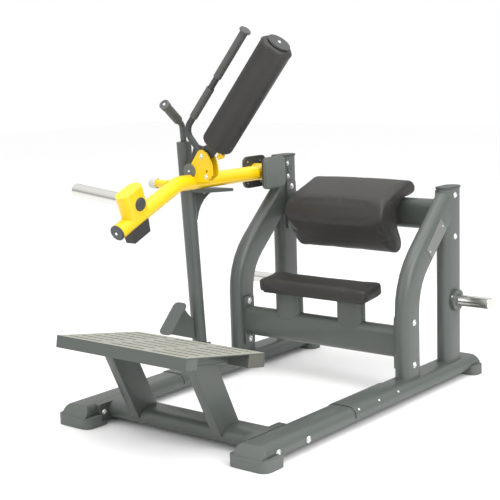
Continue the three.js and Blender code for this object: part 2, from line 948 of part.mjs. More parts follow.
function tread() {
  const sheet = new THREE.Shape();
  sheet.moveTo(-plateHalf, 0);
  sheet.lineTo(plateHalf, 0);
  sheet.lineTo(plateHalf, plateDeep);
  sheet.lineTo(-plateHalf, plateDeep);
  for (let row = 0; row < slotRows; row++) {
    for (let column = 0; column < slotColumns; column++) {
      const x = (column - (slotColumns - 1) / 2) * slotPitchX;
      const y = slotFirstY + row * slotPitchY;
      sheet.holes.push(slotPath(x, y));
    }
  }
  const top = alongZ(sheet, -plateSheet, 0, plateSteps);
  const lips = [
    block(-plateHalf, plateHalf, 0, plateSheet, -plateLip, -plateSheet / 2),
    block(
      -plateHalf, plateHalf, plateDeep - plateSheet, plateDeep, -rearTubeHigh - plateSheet, -plateSheet / 2,
    ),
  ];
  return join(top, ...lips);
}

function slotPath(x, y) {
  const run = (slotLong - slotWide) / 2;
  const path = new THREE.Path();
  path.absarc(x + run, y, slotWide / 2, -Math.PI / 2, Math.PI / 2);
  path.absarc(x - run, y, slotWide / 2, Math.PI / 2, Math.PI * 3 / 2);
  return path;
}

piece("footplate_tread", onPlate(tread()), treadPaint);

function plateTube(deep, high, y) {
  const shape = boxTube(deep, high, plateTubeCorner, plateTubeWall);
  const half = plateHalf - plateInset;
  const top = -plateSheet - fitGap;
  return alongX(shape, -half, half, cornerSteps).translate(0, y + deep / 2, top - high / 2);
}

const frontTubeY = plateSheet + fitGap;
const rearTubeY = plateDeep - plateSheet - fitGap - rearTubeDeep;
piece("footplate_front_tube", onPlate(plateTube(frontTubeDeep, frontTubeHigh, frontTubeY)), paint);
piece("footplate_rear_tube", onPlate(plateTube(rearTubeDeep, rearTubeHigh, rearTubeY)), paint);

function plateLeg() {
  const lean = rad(plateLegLean);
  const direction = vec(0, -Math.sin(lean), Math.cos(lean));
  const across = vec(0, Math.cos(lean), Math.sin(lean));
  const shape = boxTube(plateLegWide, plateLegLong, plateTubeCorner, plateTubeWall);
  const reach = plateLegZ;
  const tube = turned(alongZ(shape, -reach, reach, cornerSteps), vec(1, 0, 0), across, direction);
  tube.translate(plateLegX, plateLegY, plateLegZ);
  const bearerTop = -plateSheet - fitGap;
  const bearerLow = bearerTop - bearerHigh;
  const bearerShape = boxTube(plateLegWide, bearerHigh, plateTubeCorner, plateTubeWall);
  const bearerFrom = frontTubeY + frontTubeDeep + fitGap;
  const bearerTo = rearTubeY - fitGap;
  const bearer = onPlate(
    alongY(bearerShape, bearerFrom, bearerTo, cornerSteps)
      .translate(plateLegX, 0, (bearerTop + bearerLow) / 2),
  );
  const above = onPlate(block(0, far, -far, far, bearerLow + plateTubeWall / 2, far));
  const cross = alongX(ovalShape(ovalLong, ovalShort, fitGap), -far, far).translate(0, crossY, railZ);
  const below = block(0, far, -far, far, -far, railZ);
  return join(cut(tube, above, cross, below), bearer);
}

pair("footplate_leg", plateLeg(), paint);

// Main pivot
function ear(x0, x1) {
  const shape = roundedBox(earBackY - earFrontY, earHighZ - earLowZ, earCorner);
  return alongX(shape, x0, x1, plateSteps).translate(0, (earFrontY + earBackY) / 2, (earLowZ + earHighZ) / 2);
}

function atPivot(radius, low, high, steps = latheSteps) {
  return rod(radius, vec(armX + low, pivotY, pivotZ), vec(armX + high, pivotY, pivotZ), steps);
}

function pivotBracket() {
  const outer = earInner + earThick;
  const ears = [ear(armX + earInner, armX + outer), ear(armX - outer, armX - earInner)];
  const web = block(armX - outer + webInset, armX + outer - webInset, webFrontY, webBackY, webLowZ, webHighZ);
  const room = alongZ(postShape(fitGap), 0, far).translate(-railX, postY, 0);
  const bore = atPivot(pivotShaftRadius + fitGap, -far, far, smoothSteps);
  return cut(join(...ears, web), room, bore);
}

piece("pivot_bracket", pivotBracket(), darkPaint);

const shaftHalf = earInner + earThick;
piece("pivot_shaft", atPivot(pivotShaftRadius, -shaftHalf, shaftHalf, smoothSteps), steel);

function ringAtPivot(inner, outer, half) {
  const profile = [[inner, -half], [outer, -half], [outer, half], [inner, half], [inner, -half]];
  return aim(lathe(profile, smoothSteps), vec(armX, pivotY, pivotZ), vec(1, 0, 0));
}

function coverPiece(inward) {
  const inside = earInner + earThick + fitGap;
  const wide = earBackY - earFrontY;
  const high = earHighZ - earLowZ;
  const body = roundedBox(wide, high, earCorner);
  const lidShape = roundedBox(
    wide - 2 * pivotCoverRound, high - 2 * pivotCoverRound, earCorner - pivotCoverRound,
  );
  const shell = alongX(body, inside, inside + pivotCoverThick - pivotCoverRound, plateSteps);
  const lid = alongX(lidShape, inside, inside + pivotCoverThick, plateSteps);
  const whole = join(shell, lid);
  whole.translate(0, (earFrontY + earBackY) / 2, (earLowZ + earHighZ) / 2);
  return (inward ? whole : mirror(whole)).translate(armX, 0, 0);
}

piece("inner_pivot_cover", coverPiece(true), greyPlastic);
piece("outer_pivot_cover", coverPiece(false), greyPlastic);

// Lever: turns about the main pivot
const lever = new THREE.Group();
machine.add(lever);

piece("pivot_bushing", ringAtPivot(boreOf(pivotShaftRadius), bushingRadius, hubHalf), brass, lever);
piece("lever_hub", ringAtPivot(bushingRadius + fitGap, hubRadius, hubHalf), yellowPaint, lever);

const armStart = vec(armX, pivotY, pivotZ);
const armBend = vec(armX, armBendY, armBendZ);
const armEnd = vec(armX, armEndY, armEndZ);
const armRoute = new Route([armStart, armBend, armEnd], [armBendRadius], vec(1, 0, 0));
const armDown = armEnd.clone().sub(armBend).normalize();
const armUp = vec(0, armDown.z, -armDown.y);

function armRoom(grow) {
  return along(roundShape(armRadius + grow), armRoute, fineSteps);
}

const pinFront = carrierFrontY - carrierThick / 2 - fitGap;
const pinBack = carrierBackY + carrierThick;
const hubRoom = atPivot(hubRadius + fitGap, -far, far, smoothSteps);
const notchRadius = swingHubRadius + hubNotchGap;
const swingNotch = rod(notchRadius, vec(armX, pinFront, swingZ), vec(armX, pinBack, swingZ));
const capNotch = rod(
  swingCapRadius + fitGap,
  vec(armX, pinFront - swingCapThick - fitGap, swingZ),
  vec(armX, pinFront + fitGap, swingZ),
);
const armTube = along(roundTube(armRadius, armWall), armRoute, fineSteps);
piece("lever_arm", cut(armTube, hubRoom, swingNotch, capNotch), yellowPaint, lever);

const armInside = armRadius - armWall - fitGap;
const armCap = lathe([
  [0, -armCapPlug],
  [armInside, -armCapPlug],
  [armInside, fitGap],
  [armRadius, fitGap],
  [armCapRadius, armCapThick / 2],
  [armCapRadius, armCapThick * 3 / 4],
  [armCapRadius - armCapThick / 4, armCapThick],
  [0, armCapThick],
]);
piece("arm_end_cap", aim(armCap, armEnd, armDown), darkPaint, lever);

const hornFrom = vec(hornInnerX, hornY, hornInnerZ);
const hornTo = vec(hornOuterX, hornY, hornOuterZ);
const hornWay = hornTo.clone().sub(hornFrom).normalize();
const leverHornLong = hornFrom.distanceTo(hornTo);
const leverHorn = lathe([
  [hornRadius - hornWall, 0],
  [hornRadius, 0],
  [hornRadius, leverHornLong - hornWall],
  [hornRadius - hornWall, leverHornLong],
  [0, leverHornLong],
  [0, leverHornLong - hornWall],
  [hornRadius - hornWall, leverHornLong - hornWall],
  [hornRadius - hornWall, 0],
], hornSteps);

// An oval tube that stands on the arm, square to the horn
function hornBracket() {
  const slide = (hornBracketY - armBendY) / armDown.y;
  const base = armBend.clone().addScaledVector(armDown, slide);
  const up = hornWay.clone().cross(armDown).normalize();
  const outer = alongZ(ovalShape(ovalLong, ovalShort), 0, hornBracketTop);
  const inner = alongZ(
    ovalShape(ovalLong, ovalShort, -hornBracketWall), -hornBracketWall, hornBracketTop - hornBracketWall,
  );
  const shell = turned(cut(outer, inner), armDown, up.clone().cross(armDown), up);
  shell.translate(base.x, base.y, base.z);
  return cut(shell, armRoom(fitGap), rod(hornRadius + fitGap, hornFrom, hornTo, hornSteps));
}

piece("weight_horn_bracket", hornBracket(), yellowPaint, lever);
piece("weight_horn", aim(leverHorn, hornFrom, hornWay), chrome, lever);

function armBumper() {
  const half = bumperLong / 2;
  const shape = outline([
    [-half, -bumperTop],
    [-half + bumperSlant, -bumperLow],
    [half, -bumperLow],
    [half, -bumperTop],
  ]);
  const body = alongZ(shape, -bumperWide / 2, bumperWide / 2);
  turned(body, armDown, armUp, armDown.clone().cross(armUp));
  const centre = armEnd.clone().addScaledVector(armDown, -bumperBack - half);
  return cut(body.translate(centre.x, centre.y, centre.z), armRoom(fitGap));
}

piece("arm_bumper", armBumper(), blackRubber, lever);

function stopPeg() {
  const shank = rod(pegRadius, vec(armX - armRadius / 2, pegY, pegZ), vec(pegOuterX, pegY, pegZ));
  const end = rod(pegEndRadius, vec(pegOuterX + pegEndLength, pegY, pegZ), vec(pegOuterX, pegY, pegZ));
  return cut(join(shank, end), armRoom(fitGap));
}

piece("stop_peg", stopPeg(), yellowPaint, lever);

// Carrier plates for the pad's own pivot; the low corner is given as shares of the plate's reach
const carrierLowShares = [[0.13, -0.4], [0.73, -0.33], [0.9, -0.2]];

function polar(reach, deg) {
  return [reach * Math.cos(rad(deg)), reach * Math.sin(rad(deg))];
}

function carrier(y) {
  const shape = new THREE.Shape();
  const [tipX, tipZ] = polar(stopReach, stopHoleDegs[0]);
  shape.moveTo(carrierLeft, -swingHubRadius);
  for (const [across, up] of carrierLowShares) {
    shape.lineTo(across * carrierReach, up * carrierReach);
  }
  shape.absarc(0, 0, carrierReach, rad(carrierLowDeg), rad(carrierTopDeg));
  shape.absarc(tipX, tipZ, carrierTipRadius, rad(carrierTopDeg), rad(90 + swingRaiseDeg));
  shape.lineTo(carrierLeft, 0);
  for (const deg of stopHoleDegs) {
    const path = new THREE.Path();
    path.absarc(...polar(stopReach, deg), stopHole, 0, Math.PI * 2);
    shape.holes.push(path);
  }
  const plate = alongY(shape, y - carrierThick / 2, y + carrierThick / 2, fineSteps / 2);
  const pinRoom = rod(swingPinRadius + fitGap, vec(armX, -far, swingZ), vec(armX, far, swingZ));
  return cut(plate.translate(armX, 0, swingZ), armRoom(fitGap), pinRoom);
}

piece("front_carrier_plate", carrier(carrierFrontY), yellowPaint, lever);
piece("rear_carrier_plate", carrier(carrierBackY), yellowPaint, lever);

const pinLong = pinBack - pinFront - fitGap;
const swingPin = lathe([
  [0, -swingCapThick],
  [swingCapRadius - swingCapThick / 3, -swingCapThick],
  [swingCapRadius, -swingCapThick * 2 / 3],
  [swingCapRadius, 0],
  [swingPinRadius, 0],
  [swingPinRadius, pinLong],
  [0, pinLong],
], smoothSteps);
piece("pad_pivot_pin", aim(swingPin, vec(armX, pinFront, swingZ), vec(0, 1, 0)), darkPaint, lever);

// Swinging pad: drawn lowered in its own group, then raised about its pin
const swing = new THREE.Group();
swing.position.set(armX, swingY, swingZ);
swing.rotation.y = -rad(swingRaiseDeg);
lever.add(swing);

function barRoom(grow) {
  return along(roundShape(barRadius + grow), barPath(), fineSteps / 2);
}

function barPath() {
  const corners = [vec(barFootU, 0, barFootW), vec(barCornerU, 0, barCornerW), vec(barEndU, 0, barEndW)];
  return new Route(corners, [barBend], vec(0, 1, 0));
}

function swingBracket() {
  const eyeFront = carrierFrontY + carrierThick / 2 + fitGap - swingY;
  const eyeBack = carrierBackY - carrierThick / 2 - fitGap - swingY;
  const eye = rod(swingHubRadius, vec(0, eyeFront, 0), vec(0, eyeBack, 0));
  const flangeU = rollerFromU - rollerEndGap - rollerFlangeThick;
  const flangeMiddle = flangeU + rollerFlangeThick / 2;
  const halfFlange = rollerFlangeRadius / 2;
  const web = alongY(outline([
    [0, 0],
    [armRadius, -swingHubRadius / 3],
    [barFootU / 2, rollerW],
    [flangeMiddle, rollerW - halfFlange],
    [flangeMiddle, rollerW + halfFlange],
    [barFootU + 2 * barRadius, swingHubRadius],
    [barFootU + barRadius, barFootW + armRadius],
    [barFootU - barRadius, barFootW + armRadius],
    [-swingHubRadius / 2, swingHubRadius * 3 / 4],
  ]), -swingPlateHalf, swingPlateHalf);
  const flangeEnd = vec(flangeU + rollerFlangeThick, 0, rollerW);
  const flange = rod(rollerFlangeRadius, vec(flangeU, 0, rollerW), flangeEnd);
  const shaftEnd = vec(rollerToU + rollerEndGap, 0, rollerW);
  const shaft = rod(rollerShaftRadius, vec(flangeU, 0, rollerW), shaftEnd, smoothSteps);
  const bore = rod(boreOf(swingPinRadius), vec(0, -far, 0), vec(0, far, 0), smoothSteps);
  return cut(join(eye, web, flange, shaft), bore, barRoom(fitGap));
}

piece("swing_bracket", swingBracket(), darkPaint, swing);
piece("handlebar", along(roundTube(barRadius, barWall), barPath(), fineSteps / 2), darkPaint, swing);

const barWay = vec(barEndU - barCornerU, 0, barEndW - barCornerW).normalize();

function onBar(u) {
  return vec(barEndU, 0, barEndW).addScaledVector(barWay, (u - barEndU) / barWay.x);
}

function grip(fromU, toU) {
  const start = onBar(fromU);
  const length = onBar(toU).distanceTo(start);
  const bore = barRadius + fitGap;
  const lip = gripRadius - barRadius;
  const profile = [
    [bore, 0],
    [gripRadius - lip / 2, 0],
    [gripRadius, lip / 2],
    [gripRadius, length - lip / 2],
    [gripRadius - lip / 2, length],
    [bore, length],
    [bore, 0],
  ];
  return aim(lathe(profile), start, barWay);
}

function endGrip() {
  const start = onBar(highGripFrom);
  const length = onBar(highGripTo).distanceTo(start);
  const inside = onBar(barEndU).distanceTo(start) + fitGap;
  const bore = barRadius + fitGap;
  const lip = gripRadius - barRadius;
  const profile = [
    [bore, 0],
    [gripRadius - lip / 2, 0],
    [gripRadius, lip / 2],
    [gripRadius, length],
    [gripFlareRadius, length + gripFlareLength / 2],
    [gripFlareRadius, length + gripFlareLength],
    [gripFlareRadius - lip, length + gripFlareEnd],
    [0, length + gripFlareEnd],
    [0, inside],
    [bore, inside],
    [bore, 0],
  ];
  return aim(lathe(profile), start, barWay);
}

piece("lower_handle_grip", grip(lowGripFrom, lowGripTo), blackRubber, swing);
piece("upper_handle_grip", endGrip(), blackRubber, swing);

const rollerLong = rollerToU - rollerFromU;
const rollerBore = boreOf(rollerShaftRadius);
// The roller's rounded ends: inset and place along, as shares of the bevel
const rollerNearShares = [[0.5, 0], [0.15, 0.15], [0, 0.5]];
const rollerFarShares = [[0, 1], [0.2, 0.4], [0.7, 0]];
const rollerProfile = [
  [rollerBore, 0],
  ...rollerNearShares.map(([inset, up]) => [rollerRadius - rollerBevel * inset, rollerBevel * up]),
  [rollerRadius, rollerLong / 2],
  ...rollerFarShares.map(([inset, down]) => (
    [rollerRadius - rollerBevel * inset, rollerLong - rollerBevel * down]
  )),
  [rollerBore, rollerLong],
  [rollerBore, 0],
];
const roller = aim(lathe(rollerProfile, smoothSteps), vec(rollerFromU, 0, rollerW), vec(1, 0, 0));
piece("roller_pad", roller, padSkin, swing);
const discU = rollerToU + rollerEndGap + fitGap;
const discEnd = vec(discU + rollerDiscThick, 0, rollerW);
piece("roller_end_disc", rod(rollerDiscRadius, vec(discU, 0, rollerW), discEnd), darkPaint, swing);

// Catch lever
const catchFoot = vec(catchX, catchFootY, catchPivotZ);
const catchTop = vec(catchX, catchTopY, catchTopZ);
const catchWay = catchTop.clone().sub(catchFoot).normalize();
const catchTailEnd = catchFoot.clone().addScaledVector(catchWay, -catchTail);

function acrossX(radius, x0, x1, y, z, steps = latheSteps) {
  return rod(radius, vec(x0, y, z), vec(x1, y, z), steps);
}

function catchPost() {
  const length = catchTop.distanceTo(catchTailEnd);
  const shell = lathe([
    [catchPostRadius - catchPostWall, 0],
    [catchPostRadius, 0],
    [catchPostRadius, length],
    [0, length],
    [0, length - catchPostWall],
    [catchPostRadius - catchPostWall, length - catchPostWall],
    [catchPostRadius - catchPostWall, 0],
  ]);
  const tube = aim(shell, catchTailEnd, catchWay);
  const tip = vec(catchTipX, catchTipY, catchTipZ);
  const bend = vec(catchX, stemBendY, stemBendZ);
  const foot = catchTop.clone().addScaledVector(catchWay, -catchPostWall * 2);
  const route = new Route([foot, bend, tip], [stemBendRadius], vec(1, 0, 0));
  const stem = along(roundShape(stemRadius), route, fineSteps);
  const bore = acrossX(boreOf(footPinRadius), -far, far, catchFootY, catchPivotZ, smoothSteps);
  return cut(join(tube, stem), bore);
}

piece("catch_post", catchPost(), paint);

function catchGrip() {
  const tip = vec(catchTipX, catchTipY, catchTipZ);
  const bend = vec(catchX, stemBendY, stemBendZ);
  const way = tip.clone().sub(bend).normalize();
  const start = tip.clone().addScaledVector(way, -catchGripTail);
  const bore = stemRadius + fitGap;
  const full = catchGripTail + fitGap;
  return aim(lathe([
    [bore, 0],
    [catchGripRadius - catchGripRound, 0],
    [catchGripRadius, catchGripEnd],
    [catchGripRadius, catchGripTail - catchGripRingLong],
    [catchGripRing, catchGripTail - catchGripRingLong],
    [catchGripRing, catchGripTail + catchGripEnd],
    [0, catchGripTail + catchGripEnd],
    [0, full],
    [bore, full],
    [bore, 0],
  ]), start, way);
}

piece("catch_grip", catchGrip(), blackRubber);

const postRoomSolid = rod(
  catchPostRadius + fitGap,
  catchTailEnd.clone().addScaledVector(catchWay, -catchTail),
  catchTop.clone().addScaledVector(catchWay, catchTail),
);

function catchRest() {
  const shelf = alongX(outline([
    [restFrontY, restFrontZ],
    [restFrontY, restFrontZ - restThick],
    [restBackY, restBackZ - restBackThick],
    [restBackY, restBackZ],
  ]), restOuterX, restInnerX);
  const rear = restBackY - restThick;
  const low = gussetLowZ;
  const high = restBackZ - restBackThick / 2;
  const shape = new THREE.Shape();
  shape.moveTo(catchTopY + catchPostRadius / 2, low);
  shape.lineTo(catchTopY + gussetFoot, low);
  shape.quadraticCurveTo(
    catchTopY + gussetCurve,
    low + (high - low) * gussetArcShare,
    rear,
    high - restBackThick / 3,
  );
  shape.lineTo(rear, high);
  shape.lineTo(catchTopY + catchPostRadius / 2, high);
  const gusset = alongX(shape, restOuterX - gussetHalf, restOuterX + gussetHalf, bendSteps);
  return cut(join(shelf, gusset), armRoom(fitGap), postRoomSolid);
}

piece("catch_rest", catchRest(), paint);

function catchPedal() {
  const away = vec(0, pedalHighY - pedalLowY, pedalHighZ - pedalLowZ);
  const length = away.length();
  const way = away.clone().normalize();
  const normal = vec(0, -way.z, way.y);
  const stripShape = roundedBox(pedalWide, length, pedalCorner);
  const strip = alongZ(stripShape, -pedalThick / 2, pedalThick / 2, plateSteps);
  turned(strip, vec(1, 0, 0), way, vec(1, 0, 0).cross(way));
  strip.translate(catchX, (pedalLowY + pedalHighY) / 2, (pedalLowZ + pedalHighZ) / 2);
  const web = alongX(outline([
    [pedalLowY + way.y * pedalThick, pedalLowZ + way.z * pedalThick],
    [pedalHighY - way.y * pedalThick, pedalHighZ - way.z * pedalThick],
    [pedalHighY + pedalWebBack, pedalHighZ - pedalWebDown],
    [catchFootY - pedalThick, catchPivotZ + pedalWebTop],
    [catchFootY - pedalThick, catchPivotZ + catchPostRadius],
  ]), catchX - pedalPlateHalf, catchX + pedalPlateHalf);
  return cut(join(strip, web), postRoomSolid);
}

piece("catch_pedal", catchPedal(), paint);

function catchFootBracket() {
  const outer = footEarInner + footEarThick;
  const base = block(
    catchX - outer, footBaseInnerX,
    catchFootY - footEarHalf, catchFootY + footEarHalf,
    footBaseLow, footBaseLow + footBaseThick,
  );
  const earShape = new THREE.Shape();
  earShape.moveTo(-footEarHalf, footBaseLow - catchPivotZ);
  earShape.lineTo(footEarHalf, footBaseLow - catchPivotZ);
  const top = footEarHalf * footEarTopShare;
  earShape.lineTo(top, top);
  earShape.lineTo(-top, top);
  const one = alongX(earShape, catchX + footEarInner, catchX + outer).translate(0, catchFootY, catchPivotZ);
  const two = alongX(earShape, catchX - outer, catchX - footEarInner).translate(0, catchFootY, catchPivotZ);
  const pin = acrossX(footPinRadius, catchX - outer, catchX + outer, catchFootY, catchPivotZ, smoothSteps);
  return join(base, one, two, pin);
}

piece("catch_foot_bracket", catchFootBracket(), paint);

// The origin goes to the middle of the base
root.updateMatrixWorld(true);
const bounds = new THREE.Box3().setFromObject(root, true);
const middle = bounds.getCenter(new THREE.Vector3());
machine.position.set(-middle.x, -middle.y, -bounds.min.z);
root.updateMatrixWorld(true);
const size = bounds.getSize(new THREE.Vector3());
console.log(`size ${size.x.toFixed(1)} x ${size.y.toFixed(1)} x ${size.z.toFixed(1)}`);
console.log(`shift ${(-middle.x).toFixed(3)} ${(-middle.y).toFixed(3)} ${(-bounds.min.z).toFixed(3)}`);

export default root;
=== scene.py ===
# %% [markdown]
# # A glute press machine, from welded tube to finished gym equipment
# The frame of this machine comes from the CAD model and stays as it is. This
# notebook gives each piece its finish, adds the small hardware that holds it
# together, and swaps the plain pads for upholstered ones. Sizes are written in
# millimetres, in the same axes as the CAD drawing: X = 0 lies midway between
# the rails, Y = 0 on the front legs, Z = 0 on the floor.

# %% Load the frame
import json
import math
import bmesh
import bpy
from mathutils import Matrix, Vector


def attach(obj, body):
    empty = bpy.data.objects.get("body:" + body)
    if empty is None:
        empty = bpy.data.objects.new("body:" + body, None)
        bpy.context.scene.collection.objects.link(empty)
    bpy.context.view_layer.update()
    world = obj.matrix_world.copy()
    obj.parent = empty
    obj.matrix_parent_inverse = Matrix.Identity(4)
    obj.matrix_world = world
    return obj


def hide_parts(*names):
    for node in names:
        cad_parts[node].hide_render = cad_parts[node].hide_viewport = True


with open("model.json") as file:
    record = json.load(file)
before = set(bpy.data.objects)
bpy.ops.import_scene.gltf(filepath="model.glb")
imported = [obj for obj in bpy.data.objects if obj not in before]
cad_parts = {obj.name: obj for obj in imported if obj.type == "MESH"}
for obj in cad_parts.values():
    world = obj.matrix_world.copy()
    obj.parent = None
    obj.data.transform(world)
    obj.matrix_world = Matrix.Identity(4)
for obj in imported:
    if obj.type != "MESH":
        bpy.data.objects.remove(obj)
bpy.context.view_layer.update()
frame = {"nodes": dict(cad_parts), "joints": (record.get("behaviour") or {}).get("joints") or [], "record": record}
joints = {joint["name"]: joint for joint in frame["joints"]}
print("pieces from the CAD model:", len(frame["nodes"]))

# %% [markdown]
# The packed model's origin is in the middle of its base, so the drawing's
# coordinates have to be moved. The lever's pivot is known in both systems, and
# the difference between its two places is the shift. Measuring it is safer than
# typing it in, because it follows the CAD model when that changes.

# %% From drawing millimetres to scene metres
ARM_X, PIVOT_Y, PIVOT_Z = -396, 168, 796
shift = Vector(joints["lever_arm_pivot"]["pos_m"]) * 1000 - Vector((ARM_X, PIVOT_Y, PIVOT_Z))


def mm(x, y, z):
    """A point of the drawing, in scene metres."""
    return (Vector((x, y, z)) + shift) / 1000


print("shift in mm:", [round(v, 3) for v in shift])

# %% [markdown]
# The swinging pad is easiest to draw lowered, with u along the roller and w
# straight up. Parked as in the picture it is raised by about 50 degrees, so its
# hardware goes through one small turn about the pad's pin.

# %% The swinging pad's own axes
SWING_Y, SWING_Z = -267.5, 843
RAISED = math.radians(50.3)
along_roller = Vector((math.cos(RAISED), 0, math.sin(RAISED)))
above_roller = Vector((-math.sin(RAISED), 0, math.cos(RAISED)))


def on_swing(u, w, y=0):
    """A point of the lowered pad's drawing, where it is when the pad is raised."""
    spot = Vector((ARM_X, SWING_Y + y, SWING_Z)) + along_roller * u + above_roller * w
    return mm(*spot)


print("roller end in m:", [round(v, 3) for v in on_swing(638, -31)])

# %% [markdown]
# ## Writing shader maths as plain Python
# A material is a network of nodes, which is hard to read as code. Here one small
# class wraps a socket, so that an expression such as 0.4 + 0.1 * grain adds the
# Math nodes by itself. Every other node comes from a single method.

# %% A socket that can be used in expressions
def shade(colour, factor):
    """The same colour, darker or lighter, as a shader takes it."""
    return (*(min(1, c * factor) for c in colour), 1)


class Wire:
    """An output socket that takes part in sums and products."""

    def __init__(self, paint, socket):
        self.paint = paint
        self.socket = socket

    def maths(self, operation, first, second):
        sockets = {0: first, 1: second}
        node = self.paint.node("ShaderNodeMath", {"operation": operation}, sockets)
        return self.paint.wire(node, 0)

    def __add__(self, other):
        return self.maths("ADD", self, other)

    def __radd__(self, other):
        return self.maths("ADD", other, self)

    def __mul__(self, other):
        return self.maths("MULTIPLY", self, other)

    def __rmul__(self, other):
        return self.maths("MULTIPLY", other, self)


class Paint:
    """One material: its node tree and the shader that it ends in."""

    def __init__(self, name):
        self.material = bpy.data.materials.new(name)
        self.material.use_nodes = True
        self.tree = self.material.node_tree
        self.shader = self.tree.nodes["Principled BSDF"]

    def node(self, kind, settings=None, sockets=None):
        """A node of this kind: its settings first, then values or links for its sockets."""
        made = self.tree.nodes.new(kind)
        for name, value in (settings or {}).items():
            if name == "stops":
                self.set_stops(made.color_ramp, value)
            else:
                setattr(made, name, value)
        for name, value in (sockets or {}).items():
            self.plug(made.inputs[name], value)
        return made

    def set_stops(self, ramp, stops):
        while len(ramp.elements) < len(stops):
            ramp.elements.new(1)
        for element, (place, colour) in zip(ramp.elements, stops):
            element.position = place
            element.color = (*colour, 1)

    def plug(self, socket, value):
        value = value.socket if isinstance(value, Wire) else value
        if isinstance(value, bpy.types.NodeSocket):
            self.tree.links.new(value, socket)
        else:
            socket.default_value = value

    def wire(self, node, name):
        return Wire(self, node.outputs[name])

    def surface(self, **sockets):
        """Fills the shader's sockets and gives the finished material."""
        for name, value in sockets.items():
            self.plug(self.shader.inputs[name.replace("_", " ")], value)
        return self.material

    def place(self):
        return self.node("ShaderNodeTexCoord").outputs["Object"]

    def grain(self, scale, detail=2.0):
        """Soft noise from 0 to 1; scale is about the number of blobs in a metre."""
        sockets = {"Vector": self.place(), "Scale": scale, "Detail": detail}
        return self.wire(self.node("ShaderNodeTexNoise", {}, sockets), "Fac")

    def cells(self, scale, feature="F1"):
        """Distances inside a pattern of packed cells."""
        sockets = {"Vector": self.place(), "Scale": scale}
        voronoi = self.node("ShaderNodeTexVoronoi", {"feature": feature}, sockets)
        return self.wire(voronoi, "Distance")

    def ramp(self, value, stops):
        return self.node("ShaderNodeValToRGB", {"stops": stops}, {"Fac": value}).outputs["Color"]

    def blend(self, share, first, second):
        mix = self.node("ShaderNodeMix", {"data_type": "RGBA"}, {0: share})
        self.plug(mix.inputs[6], first)
        self.plug(mix.inputs[7], second)
        return mix.outputs[2]

    def mottle(self, share, colour, dark, light):
        """The colour, from a darker to a lighter shade as share grows."""
        return self.blend(share, shade(colour, dark), shade(colour, light))

    def bumps(self, height, strength, distance):
        sockets = {"Height": height, "Strength": strength, "Distance": distance}
        return self.node("ShaderNodeBump", {}, sockets).outputs["Normal"]


print("ready to mix paint:", [name for name in vars(Paint) if not name.startswith("_")])


# %% [markdown]
# ## Powder coat
# The tubes are powder coated: the paint melts into a skin that is smooth but
# never quite flat, like the peel of an orange. Fine noise makes that peel, and a
# slow, faint noise keeps large faces from looking like one flat colour.

# %% Powder-coated steel
def powder_coat(name, colour, rough, coat):
    paint = Paint(name)
    patches = paint.grain(6, 3)
    peel_grain = paint.grain(420, 2)
    return paint.surface(
        Base_Color=paint.mottle(patches, colour, 0.92, 1.08),
        Roughness=rough - 0.04 + 0.08 * patches,
        Coat_Weight=coat,
        Normal=paint.bumps(peel_grain, 0.12, 0.0006),
    )


FRAME_GREY = (0.072, 0.084, 0.076)
DARK_GREY = (0.036, 0.039, 0.039)
YELLOW = (0.86, 0.56, 0.0)

frame_coat = powder_coat("frame powder coat", FRAME_GREY, 0.42, 0.15)
dark_coat = powder_coat("dark powder coat", DARK_GREY, 0.45, 0.1)
yellow_coat = powder_coat("yellow powder coat", YELLOW, 0.36, 0.25)
print("powder coats:", frame_coat.name, dark_coat.name, yellow_coat.name)

# %% [markdown]
# The footplate wears a lighter, sandy coat, so that a shoe grips it. Sand is a
# pattern of small separate grains, which Voronoi cells give better than noise.
# The surface's own direction tells its top from its folded lips, which are bare.

# %% Grit coat of the footplate
GRIT = (0.31, 0.31, 0.265)


def grit_coat():
    paint = Paint("footplate grit")
    facing = paint.node("ShaderNodeNewGeometry").outputs["Normal"]
    upward = paint.node("ShaderNodeSeparateXYZ", {}, {"Vector": facing}).outputs["Z"]
    facing_up = {"Value": upward, "From Min": 0.80, "From Max": 0.93}
    top = paint.wire(paint.node("ShaderNodeMapRange", {}, facing_up), "Result")
    sand = paint.cells(900)
    patches = paint.grain(9, 4)
    coat = paint.mottle(patches, GRIT, 0.9, 1.06)
    speckled = paint.blend(0.25 * sand, coat, shade(GRIT, 0.6))
    lip = paint.mottle(patches, FRAME_GREY, 0.90, 1.08)
    return paint.surface(
        Base_Color=paint.blend(top, lip, speckled),
        Roughness=0.45 + 0.2 * patches,
        Normal=paint.bumps(sand, 0.3, 0.0005),
    )


tread_coat = grit_coat()
print("grit coat nodes:", len(tread_coat.node_tree.nodes))

# %% [markdown]
# ## Rubber, plastic, metal and wood
# Moulded rubber is matte with a faint stipple, which is the print of a blasted
# steel mould. The pivot covers are moulded too, a little glossier.

# %% Moulded rubber and plastic
def moulded(name, colour, rough, stipple):
    paint = Paint(name)
    dots = paint.cells(700)
    patches = paint.grain(14, 3)
    return paint.surface(
        Base_Color=paint.mottle(patches, colour, 0.88, 1.1),
        Roughness=rough + 0.1 * patches,
        Normal=paint.bumps(dots, stipple, 0.0005),
    )


